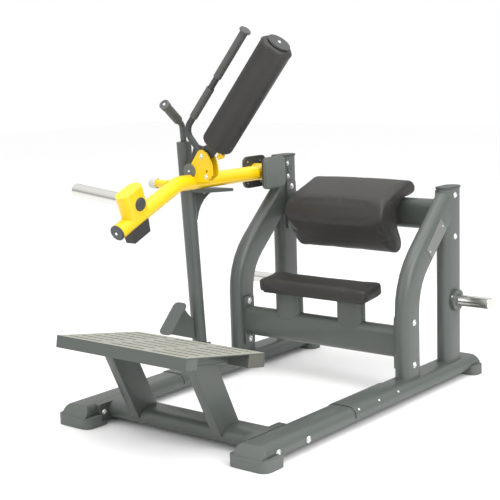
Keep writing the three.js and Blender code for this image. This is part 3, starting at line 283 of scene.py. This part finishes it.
BOOT_GREY = (0.105, 0.117, 0.107)
RUBBER_BLACK = (0.028, 0.028, 0.029)
COVER_GREY = (0.116, 0.132, 0.118)
boot_rubber = moulded("boot rubber", BOOT_GREY, 0.6, 0.25)
black_rubber = moulded("black rubber", RUBBER_BLACK, 0.55, 0.35)
cover_plastic = moulded("cover plastic", COVER_GREY, 0.38, 0.1)
plug_plastic = moulded("plug plastic", (0.05, 0.052, 0.053), 0.4, 0.1)
warm_plug = moulded("tube plug plastic", (0.082, 0.083, 0.068), 0.5, 0.12)
foam_grip = moulded("handle foam", (0.085, 0.086, 0.080), 0.6, 0.07)
clear_plastic = moulded("clear sleeve", (0.55, 0.56, 0.55), 0.25, 0.05)
print("materials so far:", len(bpy.data.materials))

# %% [markdown]
# Bare metal is a mirror that wear has blurred a little, more in some places than
# in others. Chrome is the clearest of them. Plywood shows its layers on its cut
# edges, and a wave that runs upward through the board draws them.

# %% Metals and wood
def metal(name, colour, rough, brush=0.05):
    paint = Paint(name)
    wear = paint.grain(60, 4)
    return paint.surface(
        Base_Color=(*colour, 1),
        Metallic=1.0,
        Roughness=rough + 0.1 * wear,
        Normal=paint.bumps(wear, brush, 0.0004),
    )


chrome = metal("chrome", (0.66, 0.65, 0.61), 0.14)
bolt_steel = metal("zinc bolt", (0.78, 0.79, 0.80), 0.2)
shaft_steel = metal("turned steel", (0.55, 0.55, 0.56), 0.28, 0.15)
brass = metal("brass", (0.72, 0.52, 0.2), 0.3, 0.1)
silver = metal("brushed aluminium", (0.27, 0.28, 0.27), 0.42, 0.1)


def plywood(name, dark, light):
    paint = Paint(name)
    wave = {"Vector": paint.place(), "Scale": 180.0, "Distortion": 1.5, "Detail": 2.0}
    layers = paint.node("ShaderNodeTexWave", {"bands_direction": "Z"}, wave)
    return paint.surface(
        Base_Color=paint.ramp(paint.wire(layers, "Fac"), [(0.0, dark), (1.0, light)]),
        Roughness=0.7,
        Normal=paint.bumps(paint.grain(120), 0.2, 0.0005),
    )


board_wood = plywood("plywood", (0.26, 0.15, 0.07), (0.45, 0.30, 0.16))
stained_board = plywood("black stained plywood", (0.018, 0.017, 0.016), (0.036, 0.034, 0.031))
print("materials so far:", len(bpy.data.materials))

# %% [markdown]
# ## Vinyl for the pads
# The pads are covered in dark charcoal vinyl with a leather grain: small cells
# parted by shallow creases. The distance to a cell's edge draws those creases.
# A slow noise varies the gloss, as hands and backs polish the cover unevenly.

# %% Upholstery vinyl
VINYL = (0.020, 0.0185, 0.0165)


def vinyl():
    paint = Paint("upholstery vinyl")
    creases = paint.cells(480, "DISTANCE_TO_EDGE")
    pores = paint.grain(1500, 2)
    patches = paint.grain(9, 3)
    return paint.surface(
        Base_Color=paint.mottle(patches, VINYL, 0.85, 1.2),
        Roughness=0.42 + 0.14 * patches,
        Normal=paint.bumps(creases * 1.2 + 0.25 * pores, 0.35, 0.0006),
    )


pad_vinyl = vinyl()
print("materials:", len(bpy.data.materials))

# %% [markdown]
# ## Dressing the CAD pieces
# Each CAD piece names a material slot, so one table dresses them all. Real edges
# are never razor sharp, and a small bevel catches the light. It goes on as a
# modifier, because the CAD meshes themselves must stay as they are. The weld
# before it closes the seams that the file format leaves between faces.

# %% Materials and soft edges for the CAD pieces
finishes = {
    "frame_paint": frame_coat,
    "dark_paint": dark_coat,
    "yellow_paint": yellow_coat,
    "boot_rubber": boot_rubber,
    "black_rubber": black_rubber,
    "grey_plastic": cover_plastic,
    "pad_skin": pad_vinyl,
    "chrome": chrome,
    "steel": shaft_steel,
    "brass": brass,
    "tread_paint": tread_coat,
    "plywood": board_wood,
    "silver": silver,
}
slot_of = {part["node"]: part["material_slot"] for part in frame["record"]["subparts"]}
special_finish = {
    "left_post_cap": plug_plastic, "right_post_cap": plug_plastic, "arm_end_cap": plug_plastic,
    "lower_handle_grip": foam_grip, "upper_handle_grip": foam_grip, "catch_grip": foam_grip,
    "seat_board": pad_vinyl, "back_pad_board": stained_board, "pad_pivot_pin": cover_plastic,
}
EDGE_MM = 0.9
SHARP_ANGLE = math.radians(33)


def soften(piece, width_mm=EDGE_MM):
    """Rounds a piece's sharp edges without changing its mesh."""
    for face in piece.data.polygons:
        face.use_smooth = True
    weld = piece.modifiers.new("close seams", "WELD")
    weld.merge_threshold = 1e-5
    bevel = piece.modifiers.new("soft edges", "BEVEL")
    bevel.width = width_mm / 1000
    bevel.segments = 2
    bevel.limit_method = "ANGLE"
    bevel.angle_limit = SHARP_ANGLE
    bevel.harden_normals = True


for name, node in frame["nodes"].items():
    finish = special_finish.get(name, finishes[slot_of[name]])
    node.data.materials.clear()
    node.data.materials.append(finish)
    if node.data.has_custom_normals:
        node.data.attributes.remove(node.data.attributes["custom_normal"])
    soften(node)
print("dressed:", len(frame["nodes"]), "CAD pieces")


# %% [markdown]
# ## Small tools for making hardware
# Bolts, plugs and screws are all turned shapes, so they come from one lathe: a
# profile of radius and height, spun about a direction. Several of a kind are
# built into one mesh, as a fastener set would be bagged together.

# %% A lathe and a way to finish a piece
def spin(bm, profile, at, way, turns=32):
    """Spins (radius, height) pairs, in mm, about the direction way, from the point at."""
    turn = Vector((0, 0, 1)).rotation_difference(Vector(way).normalized()).to_matrix()
    rings = []
    for radius, height in profile:
        count = 1 if radius == 0 else turns
        ring = []
        for i in range(count):
            angle = 2 * math.pi * i / turns
            spot = Vector((radius * math.cos(angle), radius * math.sin(angle), height)) / 1000
            ring.append(bm.verts.new(Vector(at) + turn @ spot))
        rings.append(ring)
    for low, high in zip(rings, rings[1:]):
        for i in range(turns):
            j = (i + 1) % turns
            corners = [low[k % len(low)] for k in (i, j)] + [high[k % len(high)] for k in (j, i)]
            unique = list(dict.fromkeys(corners))
            if len(unique) > 2:
                bm.faces.new(unique)
    if profile[0] != profile[-1]:
        if len(rings[0]) > 1:
            bm.faces.new(reversed(rings[0]))
        if len(rings[-1]) > 1:
            bm.faces.new(rings[-1])


def finish_piece(name, bm, body, material, slot, smooth_deg=40):
    """Turns a bmesh into a named piece that moves with a body of the machine."""
    bmesh.ops.recalc_face_normals(bm, faces=bm.faces)
    mesh = bpy.data.meshes.new(name)
    bm.to_mesh(mesh)
    bm.free()
    piece = bpy.data.objects.new(name, mesh)
    bpy.context.scene.collection.objects.link(piece)
    mesh.materials.append(material)
    for face in mesh.polygons:
        face.use_smooth = True
    mesh.set_sharp_from_angle(angle=math.radians(smooth_deg))
    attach(piece, body)
    return piece


print("tools ready:", spin.__name__, finish_piece.__name__)

# %% [markdown]
# ## Bolts
# The machine is bolted together at its flanges. Each bolt shows a thin washer and a domed head with a round
# socket.

# %% Domed bolts with washers
BOLT_SIDES = 24


def bolt_head(bm, at, way, head_mm):
    r = head_mm / 2
    washer_top = r * 0.18
    washer = [(0, 0), (r * 1.3, 0), (r * 1.3, r * 0.16), (r * 0.9, washer_top), (0, washer_top)]
    spin(bm, washer, at, way, BOLT_SIDES)
    dome = [(0, r * 0.1)]
    dome += [(r * math.cos(a), washer_top + r * 0.75 * math.sin(a)) for a in (0, 0.35, 0.7, 1.0)]
    rim, top = r * 0.5, dome[-1][1]
    dome += [(rim, top), (rim * 0.92, top - r * 0.3), (0, top - r * 0.3)]
    spin(bm, dome, at, way, BOLT_SIDES)


def bolts(name, body, head_mm, spots):
    """A set of bolts: each spot is a point of the drawing and the way it faces."""
    bm = bmesh.new()
    for point, way in spots:
        bolt_head(bm, point, way, head_mm)
    return finish_piece(name, bm, body, bolt_steel, "steel")


def both_sides(x, y, z, way):
    """A bolt's place and way on the left, and their mirror image on the right."""
    return [(mm(x, y, z), way), (mm(-x, y, z), (-way[0], *way[1:]))]


LEFT, RIGHT, FRONT, BACK = (1, 0, 0), (-1, 0, 0), (0, -1, 0), (0, 1, 0)
RAIL_X, RAIL_TOP, LEG_Y, POST_Y = 395, 75, 0, 307
OUTER_FACE, INNER_FACE = 425, 355
FRAME_BOLT_MM = 18
seat_bolts, back_bolts, cross_bolts = [], [], []
for z in (125, 285):
    seat_bolts += both_sides(OUTER_FACE, LEG_Y, z, LEFT)
    seat_bolts += both_sides(INNER_FACE, LEG_Y, z, RIGHT)
for z in (565, 725):
    back_bolts += both_sides(OUTER_FACE, POST_Y, z, LEFT)
    back_bolts += both_sides(INNER_FACE, POST_Y, z, RIGHT)
for y in (-871, -711):
    cross_bolts += both_sides(454.5, y, 42, LEFT) + both_sides(325, y, 45, RIGHT)
bolts("seat_beam_bolts", "frame", FRAME_BOLT_MM, seat_bolts)
bolts("back_beam_bolts", "frame", FRAME_BOLT_MM, back_bolts)
bolts("cross_member_bolts", "frame", FRAME_BOLT_MM, cross_bolts)
print("frame bolts:", len(seat_bolts) + len(back_bolts) + len(cross_bolts))

# %% [markdown]
# ## Plugs in the tube ends
# Open tube ends are sharp and fill with dust, so plastic plugs close them. They
# are rounded rectangles with a soft edge: a short extruded outline with a bevel.

# %% Rounded rectangular plugs on the footplate's tubes
CORNER_STEPS = 5


def rounded_outline(wide, high, radius):
    spots = []
    for cx, cy, start in ((1, 1, 0), (-1, 1, 1), (-1, -1, 2), (1, -1, 3)):
        for i in range(CORNER_STEPS + 1):
            angle = (start + i / CORNER_STEPS) * math.pi / 2
            x = cx * (wide / 2 - radius) + radius * math.cos(angle)
            y = cy * (high / 2 - radius) + radius * math.sin(angle)
            spots.append((x, y))
    return spots


def slab(bm, outline, at, across, upward, thick_mm):
    """An outline in the plane of across and upward, thickened along their cross product."""
    across, upward = Vector(across).normalized(), Vector(upward).normalized()
    out = across.cross(upward)
    low = [bm.verts.new(Vector(at) + (across * a + upward * b) / 1000) for a, b in outline]
    high = [bm.verts.new(v.co + out * thick_mm / 1000) for v in low]
    count = len(low)
    for i in range(count):
        j = (i + 1) % count
        bm.faces.new((low[i], low[j], high[j], high[i]))
    bm.faces.new(reversed(low))
    bm.faces.new(high)


# The footplate slopes down towards the seat, from the upper edge of its front lip
SLOPE = math.radians(9.8)
PLATE_FRONT = Vector((0, -1100, 376))
plate_back = Vector((0, math.cos(SLOPE), -math.sin(SLOPE)))
plate_up = Vector((0, math.sin(SLOPE), math.cos(SLOPE)))


def on_plate(x, back, up):
    """A point given along and above the sloping footplate."""
    spot = PLATE_FRONT + plate_back * back + plate_up * up
    return mm(x, spot.y, spot.z)


TUBE_END_X, UNDER_SHEET, PLUG_CORNER, PLUG_THICK = 286, -3.3, 5, 4


def tube_plugs(name, deep, high, back, material, slot):
    plugs = bmesh.new()
    outline = rounded_outline(deep, high, PLUG_CORNER)
    for side in (1, -1):
        middle = on_plate(side * TUBE_END_X, back, UNDER_SHEET - high / 2)
        slab(plugs, outline, middle, plate_back * side, plate_up, PLUG_THICK)
    soften(finish_piece(name, plugs, "frame", material, slot), 1.2)


tube_plugs("footplate_front_plugs", 50, 37, 28.3, frame_coat, "frame_paint")
tube_plugs("footplate_rear_plugs", 80, 44, 345.7, warm_plug, "grey_plastic")
print("footplate plugs: 4")

# %% [markdown]
# ## Weld beads
# Where one tube stands on another, the weld leaves a small rippled bead round
# the joint. It is a thin tube that follows the upright's flat-oval outline.

# %% Beads round the feet of the posts and legs
def oval_outline(wide, high, steps=14):
    """A flat oval that stands upright: two half circles, joined by straight sides."""
    radius, run = wide / 2, (high - wide) / 2
    spots = []
    for sign in (1, -1):
        for i in range(steps + 1):
            angle = math.pi * i / steps
            spots.append((sign * radius * math.cos(angle), sign * (run + radius * math.sin(angle))))
    return spots


def filled_in(outline, spacing):
    """The same closed outline, with more points on its straight sides."""
    spots = []
    for (x0, y0), (x1, y1) in zip(outline, outline[1:] + outline[:1]):
        count = max(1, int(math.hypot(x1 - x0, y1 - y0) / spacing))
        for k in range(count):
            spots.append((x0 + (x1 - x0) * k / count, y0 + (y1 - y0) * k / count))
    return spots


BEAD_SIDES, RIPPLE = 8, 0.12


def bead(bm, path, radius_mm):
    """A thin rippled tube along a closed path of scene points."""
    turns = [2 * math.pi * k / BEAD_SIDES for k in range(BEAD_SIDES)]
    rings = []
    for i, spot in enumerate(path):
        way = (path[(i + 1) % len(path)] - path[i - 1]).normalized()
        side = way.cross(Vector((0, 0, 1)))
        side = side.normalized() if side.length > 1e-3 else Vector((1, 0, 0))
        up = way.cross(side)
        r = radius_mm / 1000 * (1 + RIPPLE * math.sin(i * 2.4))
        ring = [spot + (side * math.cos(t) + up * math.sin(t)) * r for t in turns]
        rings.append([bm.verts.new(point) for point in ring])
    for low, high in zip(rings, rings[1:] + rings[:1]):
        for k in range(BEAD_SIDES):
            m = (k + 1) % BEAD_SIDES
            bm.faces.new((low[k], low[m], high[m], high[k]))


# The bead runs level over the rail's flat top and sinks a little past its edges
FLAT_HALF, SINKING, BEAD_LIFT, BEAD_RADIUS = 30, 0.4, 1.2, 2.6
foot_beads = bmesh.new()
foot = filled_in(oval_outline(62, 122), 7)
for side in (1, -1):
    for y in (LEG_Y, POST_Y):
        path = []
        for x, dy in foot:
            height = RAIL_TOP + BEAD_LIFT - SINKING * max(0, abs(x) - FLAT_HALF)
            path.append(mm(side * RAIL_X + x, y + dy, height))
        bead(foot_beads, path, BEAD_RADIUS)
finish_piece("weld_beads_at_the_rails", foot_beads, "frame", frame_coat, "frame_paint", 60)
print("weld beads: 4")

# %% [markdown]
# ## Main pivot hardware
# Four screws hold each cover from inside the bracket's ears, and bolts clamp the
# bracket to the right post. The post's inner face also carries a round washer
# plate below its cap.

# %% Screws and bolts of the main pivot
cover_screws = bmesh.new()
EAR_INSIDE = 44.5
screw = [(0, 0), (4, 0), (3.6, 1.2), (1.8, 1.6), (1.8, 0.8), (0, 0.8)]
for y in (122, 205):
    for z in (750, 840):
        spin(cover_screws, screw, mm(ARM_X + EAR_INSIDE, y, z), RIGHT, 20)
        spin(cover_screws, screw, mm(ARM_X - EAR_INSIDE, y, z), LEFT, 20)
finish_piece("pivot_cover_screws", cover_screws, "frame", bolt_steel, "steel")
POST_INNER, POST_OUTER = -365, -425
clamp_spots = [(295, 822), (297, 768), (322, 732)]
clamp_bolts = [(mm(POST_INNER, y, z), LEFT) for y, z in clamp_spots]
clamp_bolts += [(mm(POST_OUTER, y, z), RIGHT) for y, z in clamp_spots]
bolts("pivot_bracket_bolts", "frame", 15, clamp_bolts)
post_disc = bmesh.new()
disc = [(0, 0), (19, 0), (19, 2.5), (17, 4), (6, 4), (6, 2.5), (0, 2.5)]
spin(post_disc, disc, mm(POST_INNER, 312, PIVOT_Z), LEFT, 40)
finish_piece("post_washer_plate", post_disc, "frame", frame_coat, "frame_paint")
print("bracket bolts:", len(clamp_bolts))

# %% [markdown]
# ## Lever hardware
# The lever's free end carries the weight horn. A dark plug closes the horn's
# tube where it comes out of the bracket, a bright centre marks each round cap,
# and the peg on the arm's far side wears a clear sleeve.

# %% Plug, cap centres and peg sleeve
HORN_IN, HORN_OUT = Vector((-361, -604, 753.4)), Vector((-699, -604, 790))
horn_back = (HORN_IN - HORN_OUT).normalized()
horn_plug = bmesh.new()
plug_seat = mm(*(HORN_IN + horn_back * 0.5))
spin(horn_plug, [(0, 0), (25.5, 0), (25.5, 3.5), (23, 6.5), (0, 6.5)], plug_seat, horn_back, 40)
finish_piece("weight_horn_plug", horn_plug, "lever", plug_plastic, "grey_plastic")

ARM_BEND, ARM_END = Vector((ARM_X, -360, 800)), Vector((ARM_X, -688, 658))
arm_way = (ARM_END - ARM_BEND).normalized()
centres = bmesh.new()
end_dot = [(0, 0), (6, 0), (5, 2), (2.5, 2.6), (0, 2.6)]
pin_dot = [(0, 0), (5, 0), (4, 2), (2, 2.4), (0, 2.4)]
spin(centres, end_dot, mm(*(ARM_END + arm_way * 9.7)), arm_way, 24)
spin(centres, pin_dot, mm(ARM_X, -293.2, SWING_Z), FRONT, 24)
finish_piece("cap_centres", centres, "lever", bolt_steel, "steel")

peg_sleeve = bmesh.new()
sleeve = [
    (17.3, 0), (19.6, 0), (20, 2), (20, 25), (18.8, 28), (18.8, 32),
    (9, 34.5), (0, 34.5), (0, 30.8), (17.3, 30.8), (17.3, 0),
]
spin(peg_sleeve, sleeve, mm(-466.6, -395, 803), RIGHT, 40)
finish_piece("peg_sleeve", peg_sleeve, "lever", clear_plastic, "grey_plastic")
print("arm's lower part leans", round(math.degrees(math.asin(-arm_way.z))), "degrees")

# %% [markdown]
# The carrier plates hold the stops of the swinging pad: two bolts on a circle
# round its pin. The hole between them stays open.

# %% Stop bolts of the carrier plates
STOP_REACH, PLATES_FRONT, PLATES_BACK = 85, -287, -248
stops = []
for degrees in (44, -13):
    a = math.radians(degrees)
    x, z = ARM_X + STOP_REACH * math.cos(a), SWING_Z + STOP_REACH * math.sin(a)
    stops += [(mm(x, PLATES_FRONT, z), FRONT), (mm(x, PLATES_BACK, z), BACK)]
bolts("pad_stop_bolts", "lever", 15, stops)
print("stop bolt heads:", len(stops))

# %% [markdown]
# ## Storage horns, step covers and the catch
# Set screws lock the storage horns' collars, rivets hold the nameplate and the
# step covers, and one bolt holds the rest under the arm. The catch's grip ends
# in a grey ring round a bright dot.

# %% Set screws, rivets and the catch's details
NAMEPLATE = Vector((426.8, 166, 575))
LEAN = math.radians(47.5)
plate_rivets = bmesh.new()
for end in (63, -63):
    spot = mm(*(NAMEPLATE + end * Vector((0, math.sin(LEAN), math.cos(LEAN)))))
    spin(plate_rivets, [(0, 0), (3.5, 0), (3, 1.2), (1.6, 1.9), (0, 2.1)], spot, LEFT, 20)
finish_piece("nameplate_rivets", plate_rivets, "frame", bolt_steel, "steel")

set_screws = bmesh.new()
COLLAR_RADIUS, SCREW_TURN = 41.5, 0.5
way = Vector((0, -math.cos(SCREW_TURN), math.sin(SCREW_TURN)))
for side in (1, -1):
    spot = mm(*(Vector((side * 433, POST_Y, 316)) + way * COLLAR_RADIUS))
    spin(set_screws, [(0, 0), (4, 0), (4, 1.4), (2, 1.6), (2, 0.6), (0, 0.6)], spot, way, 20)
finish_piece("collar_set_screws", set_screws, "frame", bolt_steel, "steel")

rivets = bmesh.new()
RIVET_TURN = math.radians(38)
for side in (1, -1):
    for y in (-410, -282, -155):
        way = Vector((side * math.cos(RIVET_TURN), 0, math.sin(RIVET_TURN)))
        spot = Vector((side * (RAIL_X + 30), y, 45)) + way * 33.2
        spin(rivets, [(0, 0), (5, 0), (4.4, 1.4), (2.4, 2.4), (0, 2.7)], mm(*spot), way, 20)
finish_piece("step_cover_rivets", rivets, "frame", bolt_steel, "steel")

SHELF_DOWN = (0, -0.058, -1)
bolts("catch_rest_bolt", "catch", 14, [(mm(-412, -190, 750.3), SHELF_DOWN)])
TIP, BEND = Vector((-450, -354, 1099)), Vector((-468, -241, 1016))
grip_way = (TIP - BEND).normalized()
grip_end = bmesh.new()
ring = [(13, 0), (20.6, 0), (20.6, 3), (18.5, 4.6), (14.5, 4.6), (13, 3), (13, 0)]
spin(grip_end, ring, mm(*(TIP + grip_way * 3.2)), grip_way, 36)
finish_piece("catch_grip_ring", grip_end, "catch", boot_rubber, "boot_rubber")
grip_dot = bmesh.new()
spin(grip_dot, [(0, 0), (7, 0), (6, 2), (0, 2.4)], mm(*(TIP + grip_way * 4.9)), grip_way, 24)
finish_piece("catch_grip_centre", grip_dot, "catch", bolt_steel, "steel")

# %% [markdown]
# ## Swinging pad hardware
# A bolt and a washer hold the roller on its shaft. A small yellow tab hangs from
# the back of the roller's flange and shows below the roller's lower end.

# %% Roller end bolt and stop tab
ROLLER_W, DISC_FACE_U, FLANGE_FACE_U = -31, 645.2, 149.7
bolts("roller_end_bolt", "swing_pad", 11, [(on_swing(DISC_FACE_U, ROLLER_W), along_roller)])
tab = bmesh.new()
tab_outline = [(FLANGE_FACE_U, -54), (FLANGE_FACE_U, -84), (138, -86), (121, -74), (123, -62)]
slab(tab, tab_outline, on_swing(0, 0, 7), along_roller, above_roller, 14)
stop_tab = finish_piece("swing_stop_tab", tab, "swing_pad", yellow_coat, "yellow_paint")
soften(stop_tab, 1.5)
print("stop tab corners:", len(tab_outline))

# %% [markdown]
# ## Upholstery
# Foam under vinyl is not a block: its faces crown and its edges round over. The
# cloth solver gives that fullness. The CAD pad is copied, remeshed into even
# cells, drawn in a little, and blown up gently while every point is kept near
# its start.

# %% Copy, relax and draw in a pad
def bake_modifiers(piece):
    """Makes the mesh what its modifiers show, and takes them off."""
    graph = bpy.context.evaluated_depsgraph_get()
    graph.update()
    mesh = bpy.data.meshes.new_from_object(piece.evaluated_get(graph))
    piece.modifiers.clear()
    piece.data = mesh


def pad_copy(node, name, voxel_mm):
    """A copy of a CAD pad, with its surface cut into even cells."""
    source = frame["nodes"][node]
    piece = bpy.data.objects.new(name, source.data.copy())
    bpy.context.scene.collection.objects.link(piece)
    bpy.context.view_layer.objects.active = piece
    remesh = piece.modifiers.new("even cells", "REMESH")
    remesh.mode = "VOXEL"
    remesh.voxel_size = voxel_mm / 1000
    bake_modifiers(piece)
    return piece


def relax(piece, rounds):
    smooth = piece.modifiers.new("relax", "SMOOTH")
    smooth.factor = 0.5
    smooth.iterations = rounds
    bake_modifiers(piece)


def draw_in(piece, depth_mm):
    shifted = [v.co - v.normal * depth_mm / 1000 for v in piece.data.vertices]
    for vertex, spot in zip(piece.data.vertices, shifted):
        vertex.co = spot


# %% [markdown]
# The solver treats the cover as a sheet with air pressure behind it. Gravity is
# off, since foam holds the pad's weight. Twenty frames are enough to swell it.

# %% Blow up a pad with the cloth solver
PRESSURE, LAST_FRAME = 4, 20


def inflate(piece, cap_mm):
    """Swells a pad, but moves no point further than cap_mm."""
    start = [v.co.copy() for v in piece.data.vertices]
    cloth = piece.modifiers.new("vinyl", "CLOTH")
    cloth.settings.use_pressure = True
    cloth.settings.uniform_pressure_force = PRESSURE
    cloth.settings.effector_weights.gravity = 0
    cloth.settings.quality = 5
    cloth.point_cache.frame_start, cloth.point_cache.frame_end = 1, LAST_FRAME
    for step in range(1, LAST_FRAME + 1):
        bpy.context.scene.frame_set(step)
    bake_modifiers(piece)
    bpy.context.scene.frame_set(1)
    cap = cap_mm / 1000
    for vertex, first in zip(piece.data.vertices, start):
        move = vertex.co - first
        if move.length > cap:
            vertex.co = first + move * (cap / move.length)


def upholster(node, name, body, voxel_mm=5, drawn_mm=2, cap_mm=5, rounds=(2, 2)):
    """Swaps a CAD pad for a soft one; rounds are the smoothing before and after."""
    before, after = rounds
    piece = pad_copy(node, name, voxel_mm)
    relax(piece, before)
    draw_in(piece, drawn_mm)
    inflate(piece, cap_mm)
    relax(piece, after)
    piece.modifiers.new("smooth cover", "SUBSURF").levels = 1
    bake_modifiers(piece)
    piece.data.materials.clear()
    piece.data.materials.append(pad_vinyl)
    for face in piece.data.polygons:
        face.use_smooth = True
    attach(piece, body)
    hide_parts(node)
    print(name, "vertices:", len(piece.data.vertices))


upholster("seat_pad", "seat_cushion", "frame")
upholster("back_pad", "back_cushion", "frame")
upholster(
    "roller_pad", "roller_cushion", "roller",
    voxel_mm=4, drawn_mm=1, cap_mm=3, rounds=(1, 0),
)

# %% [markdown]
# The roller's cover is a tube of vinyl that is turned in at its upper end. Its
# hem shows there as a thin raised ring, which a bead along a circle makes.

# %% Hem of the roller's cover
HEM_U, HEM_RADIUS, HEM_POINTS = 622, 61.5, 72
hem = bmesh.new()
circle = []
for i in range(HEM_POINTS):
    angle = 2 * math.pi * i / HEM_POINTS
    w = ROLLER_W + HEM_RADIUS * math.cos(angle)
    circle.append(on_swing(HEM_U, w, HEM_RADIUS * math.sin(angle)))
bead(hem, circle, 2.2)
finish_piece("roller_cover_hem", hem, "roller", pad_vinyl, "pad_skin", 60)
print("hem points:", len(circle))

# %% [markdown]
# ## Floor, light and camera
# A pale floor, a bright plain room and a few large soft lamps make an even
# studio light. The floor lies a hair below the machine's feet, so that the two
# surfaces don't flicker into each other.

# %% Pale floor
FLOOR_HALF, FLOOR_Z = 14, -0.0006
floor_mesh = bmesh.new()
bmesh.ops.create_grid(floor_mesh, x_segments=1, y_segments=1, size=FLOOR_HALF)
mesh = bpy.data.meshes.new("floor")
floor_mesh.to_mesh(mesh)
floor_mesh.free()
floor = bpy.data.objects.new("floor", mesh)
floor.location.z = FLOOR_Z
bpy.context.scene.collection.objects.link(floor)
floor_paint = Paint("studio floor").surface(Base_Color=(0.93, 0.93, 0.93, 1), Roughness=0.75)
floor.data.materials.append(floor_paint)
print("floor in m:", 2 * FLOOR_HALF, "square")

# %% [markdown]
# Chrome shows only what stands round it, so an evenly white room would leave it
# white. The room here is bright overhead and grey at eye level, which gives each
# horn its dark band, while the backdrop that the lens sees stays plain white.

# %% A room that is bright above and grey at eye level
world = bpy.data.worlds.new("studio")
world.use_nodes = True
room = world.node_tree
background = room.nodes["Background"]
background.inputs["Color"].default_value = (1, 1, 1, 1)
EYE_LEVEL, OVERHEAD, BACKDROP = 0.42, 1.15, 1.0
direction = room.nodes.new("ShaderNodeTexCoord").outputs["Generated"]
split = room.nodes.new("ShaderNodeSeparateXYZ")
room.links.new(direction, split.inputs["Vector"])
height = room.nodes.new("ShaderNodeMapRange")
fade = {"From Min": 0.0, "From Max": 0.6, "To Min": EYE_LEVEL, "To Max": OVERHEAD}
for name, value in fade.items():
    height.inputs[name].default_value = value
room.links.new(split.outputs["Z"], height.inputs["Value"])
seen = room.nodes.new("ShaderNodeMix")
seen.data_type = "FLOAT"
room.links.new(room.nodes.new("ShaderNodeLightPath").outputs["Is Camera Ray"], seen.inputs[0])
room.links.new(height.outputs["Result"], seen.inputs[2])
seen.inputs[3].default_value = BACKDROP
room.links.new(seen.outputs[0], background.inputs["Strength"])
bpy.context.scene.world = world
print("room: eye level", EYE_LEVEL, "overhead", OVERHEAD)

# %% [markdown]
# A large lamp gives soft shadows. The one on the right is the strongest, so that
# the tubes' outer sides come out lighter than their fronts.

# %% Soft lamps
def lamp(name, at, size, watts):
    """A square lamp that faces the machine's middle."""
    light = bpy.data.lights.new(name, "AREA")
    light.size = size
    light.energy = watts
    holder = bpy.data.objects.new(name, light)
    holder.location = at
    aim = Vector((0, 0, 0.5)) - Vector(at)
    holder.rotation_euler = aim.to_track_quat("-Z", "Y").to_euler()
    bpy.context.scene.collection.objects.link(holder)


lamp("top softbox", (0.6, -0.6, 4.2), 3.5, 90)
lamp("right softbox", (4.2, -0.6, 2.6), 3.0, 120)
lamp("front fill", (-1.5, -4.5, 2.2), 3.0, 40)
print("lamps:", len(bpy.data.lights))

# %% [markdown]
# The camera stands where the photographer's stood. Its place, tilt and lens were
# worked out from edges of the machine that run along the three axes.

# %% Camera at the photograph's place
CAMERA_AT = (2647.5, -3673.7, 1280.7)
AZIMUTH, PITCH, ROLL = math.radians(39.15), math.radians(9.41), math.radians(-1.816)
LENS_MM, SENSOR_MM = 85.13, 36

level = Vector((math.cos(AZIMUTH), math.sin(AZIMUTH), 0))
ahead = Vector((-math.sin(AZIMUTH), math.cos(AZIMUTH), 0))
forward = ahead * math.cos(PITCH) - Vector((0, 0, math.sin(PITCH)))
upright = level.cross(forward)
across = level * math.cos(ROLL) + upright * math.sin(ROLL)
upward = upright * math.cos(ROLL) - level * math.sin(ROLL)
camera_data = bpy.data.cameras.new("camera")
camera_data.lens, camera_data.sensor_width = LENS_MM, SENSOR_MM
camera = bpy.data.objects.new("camera", camera_data)
facing = Matrix((across, upward, -forward)).transposed().to_4x4()
camera.matrix_world = Matrix.Translation(mm(*CAMERA_AT)) @ facing
bpy.context.scene.collection.objects.link(camera)
bpy.context.scene.camera = camera
bpy.context.scene.view_settings.view_transform = "Standard"
print("camera in m:", [round(v, 2) for v in camera.matrix_world.translation])
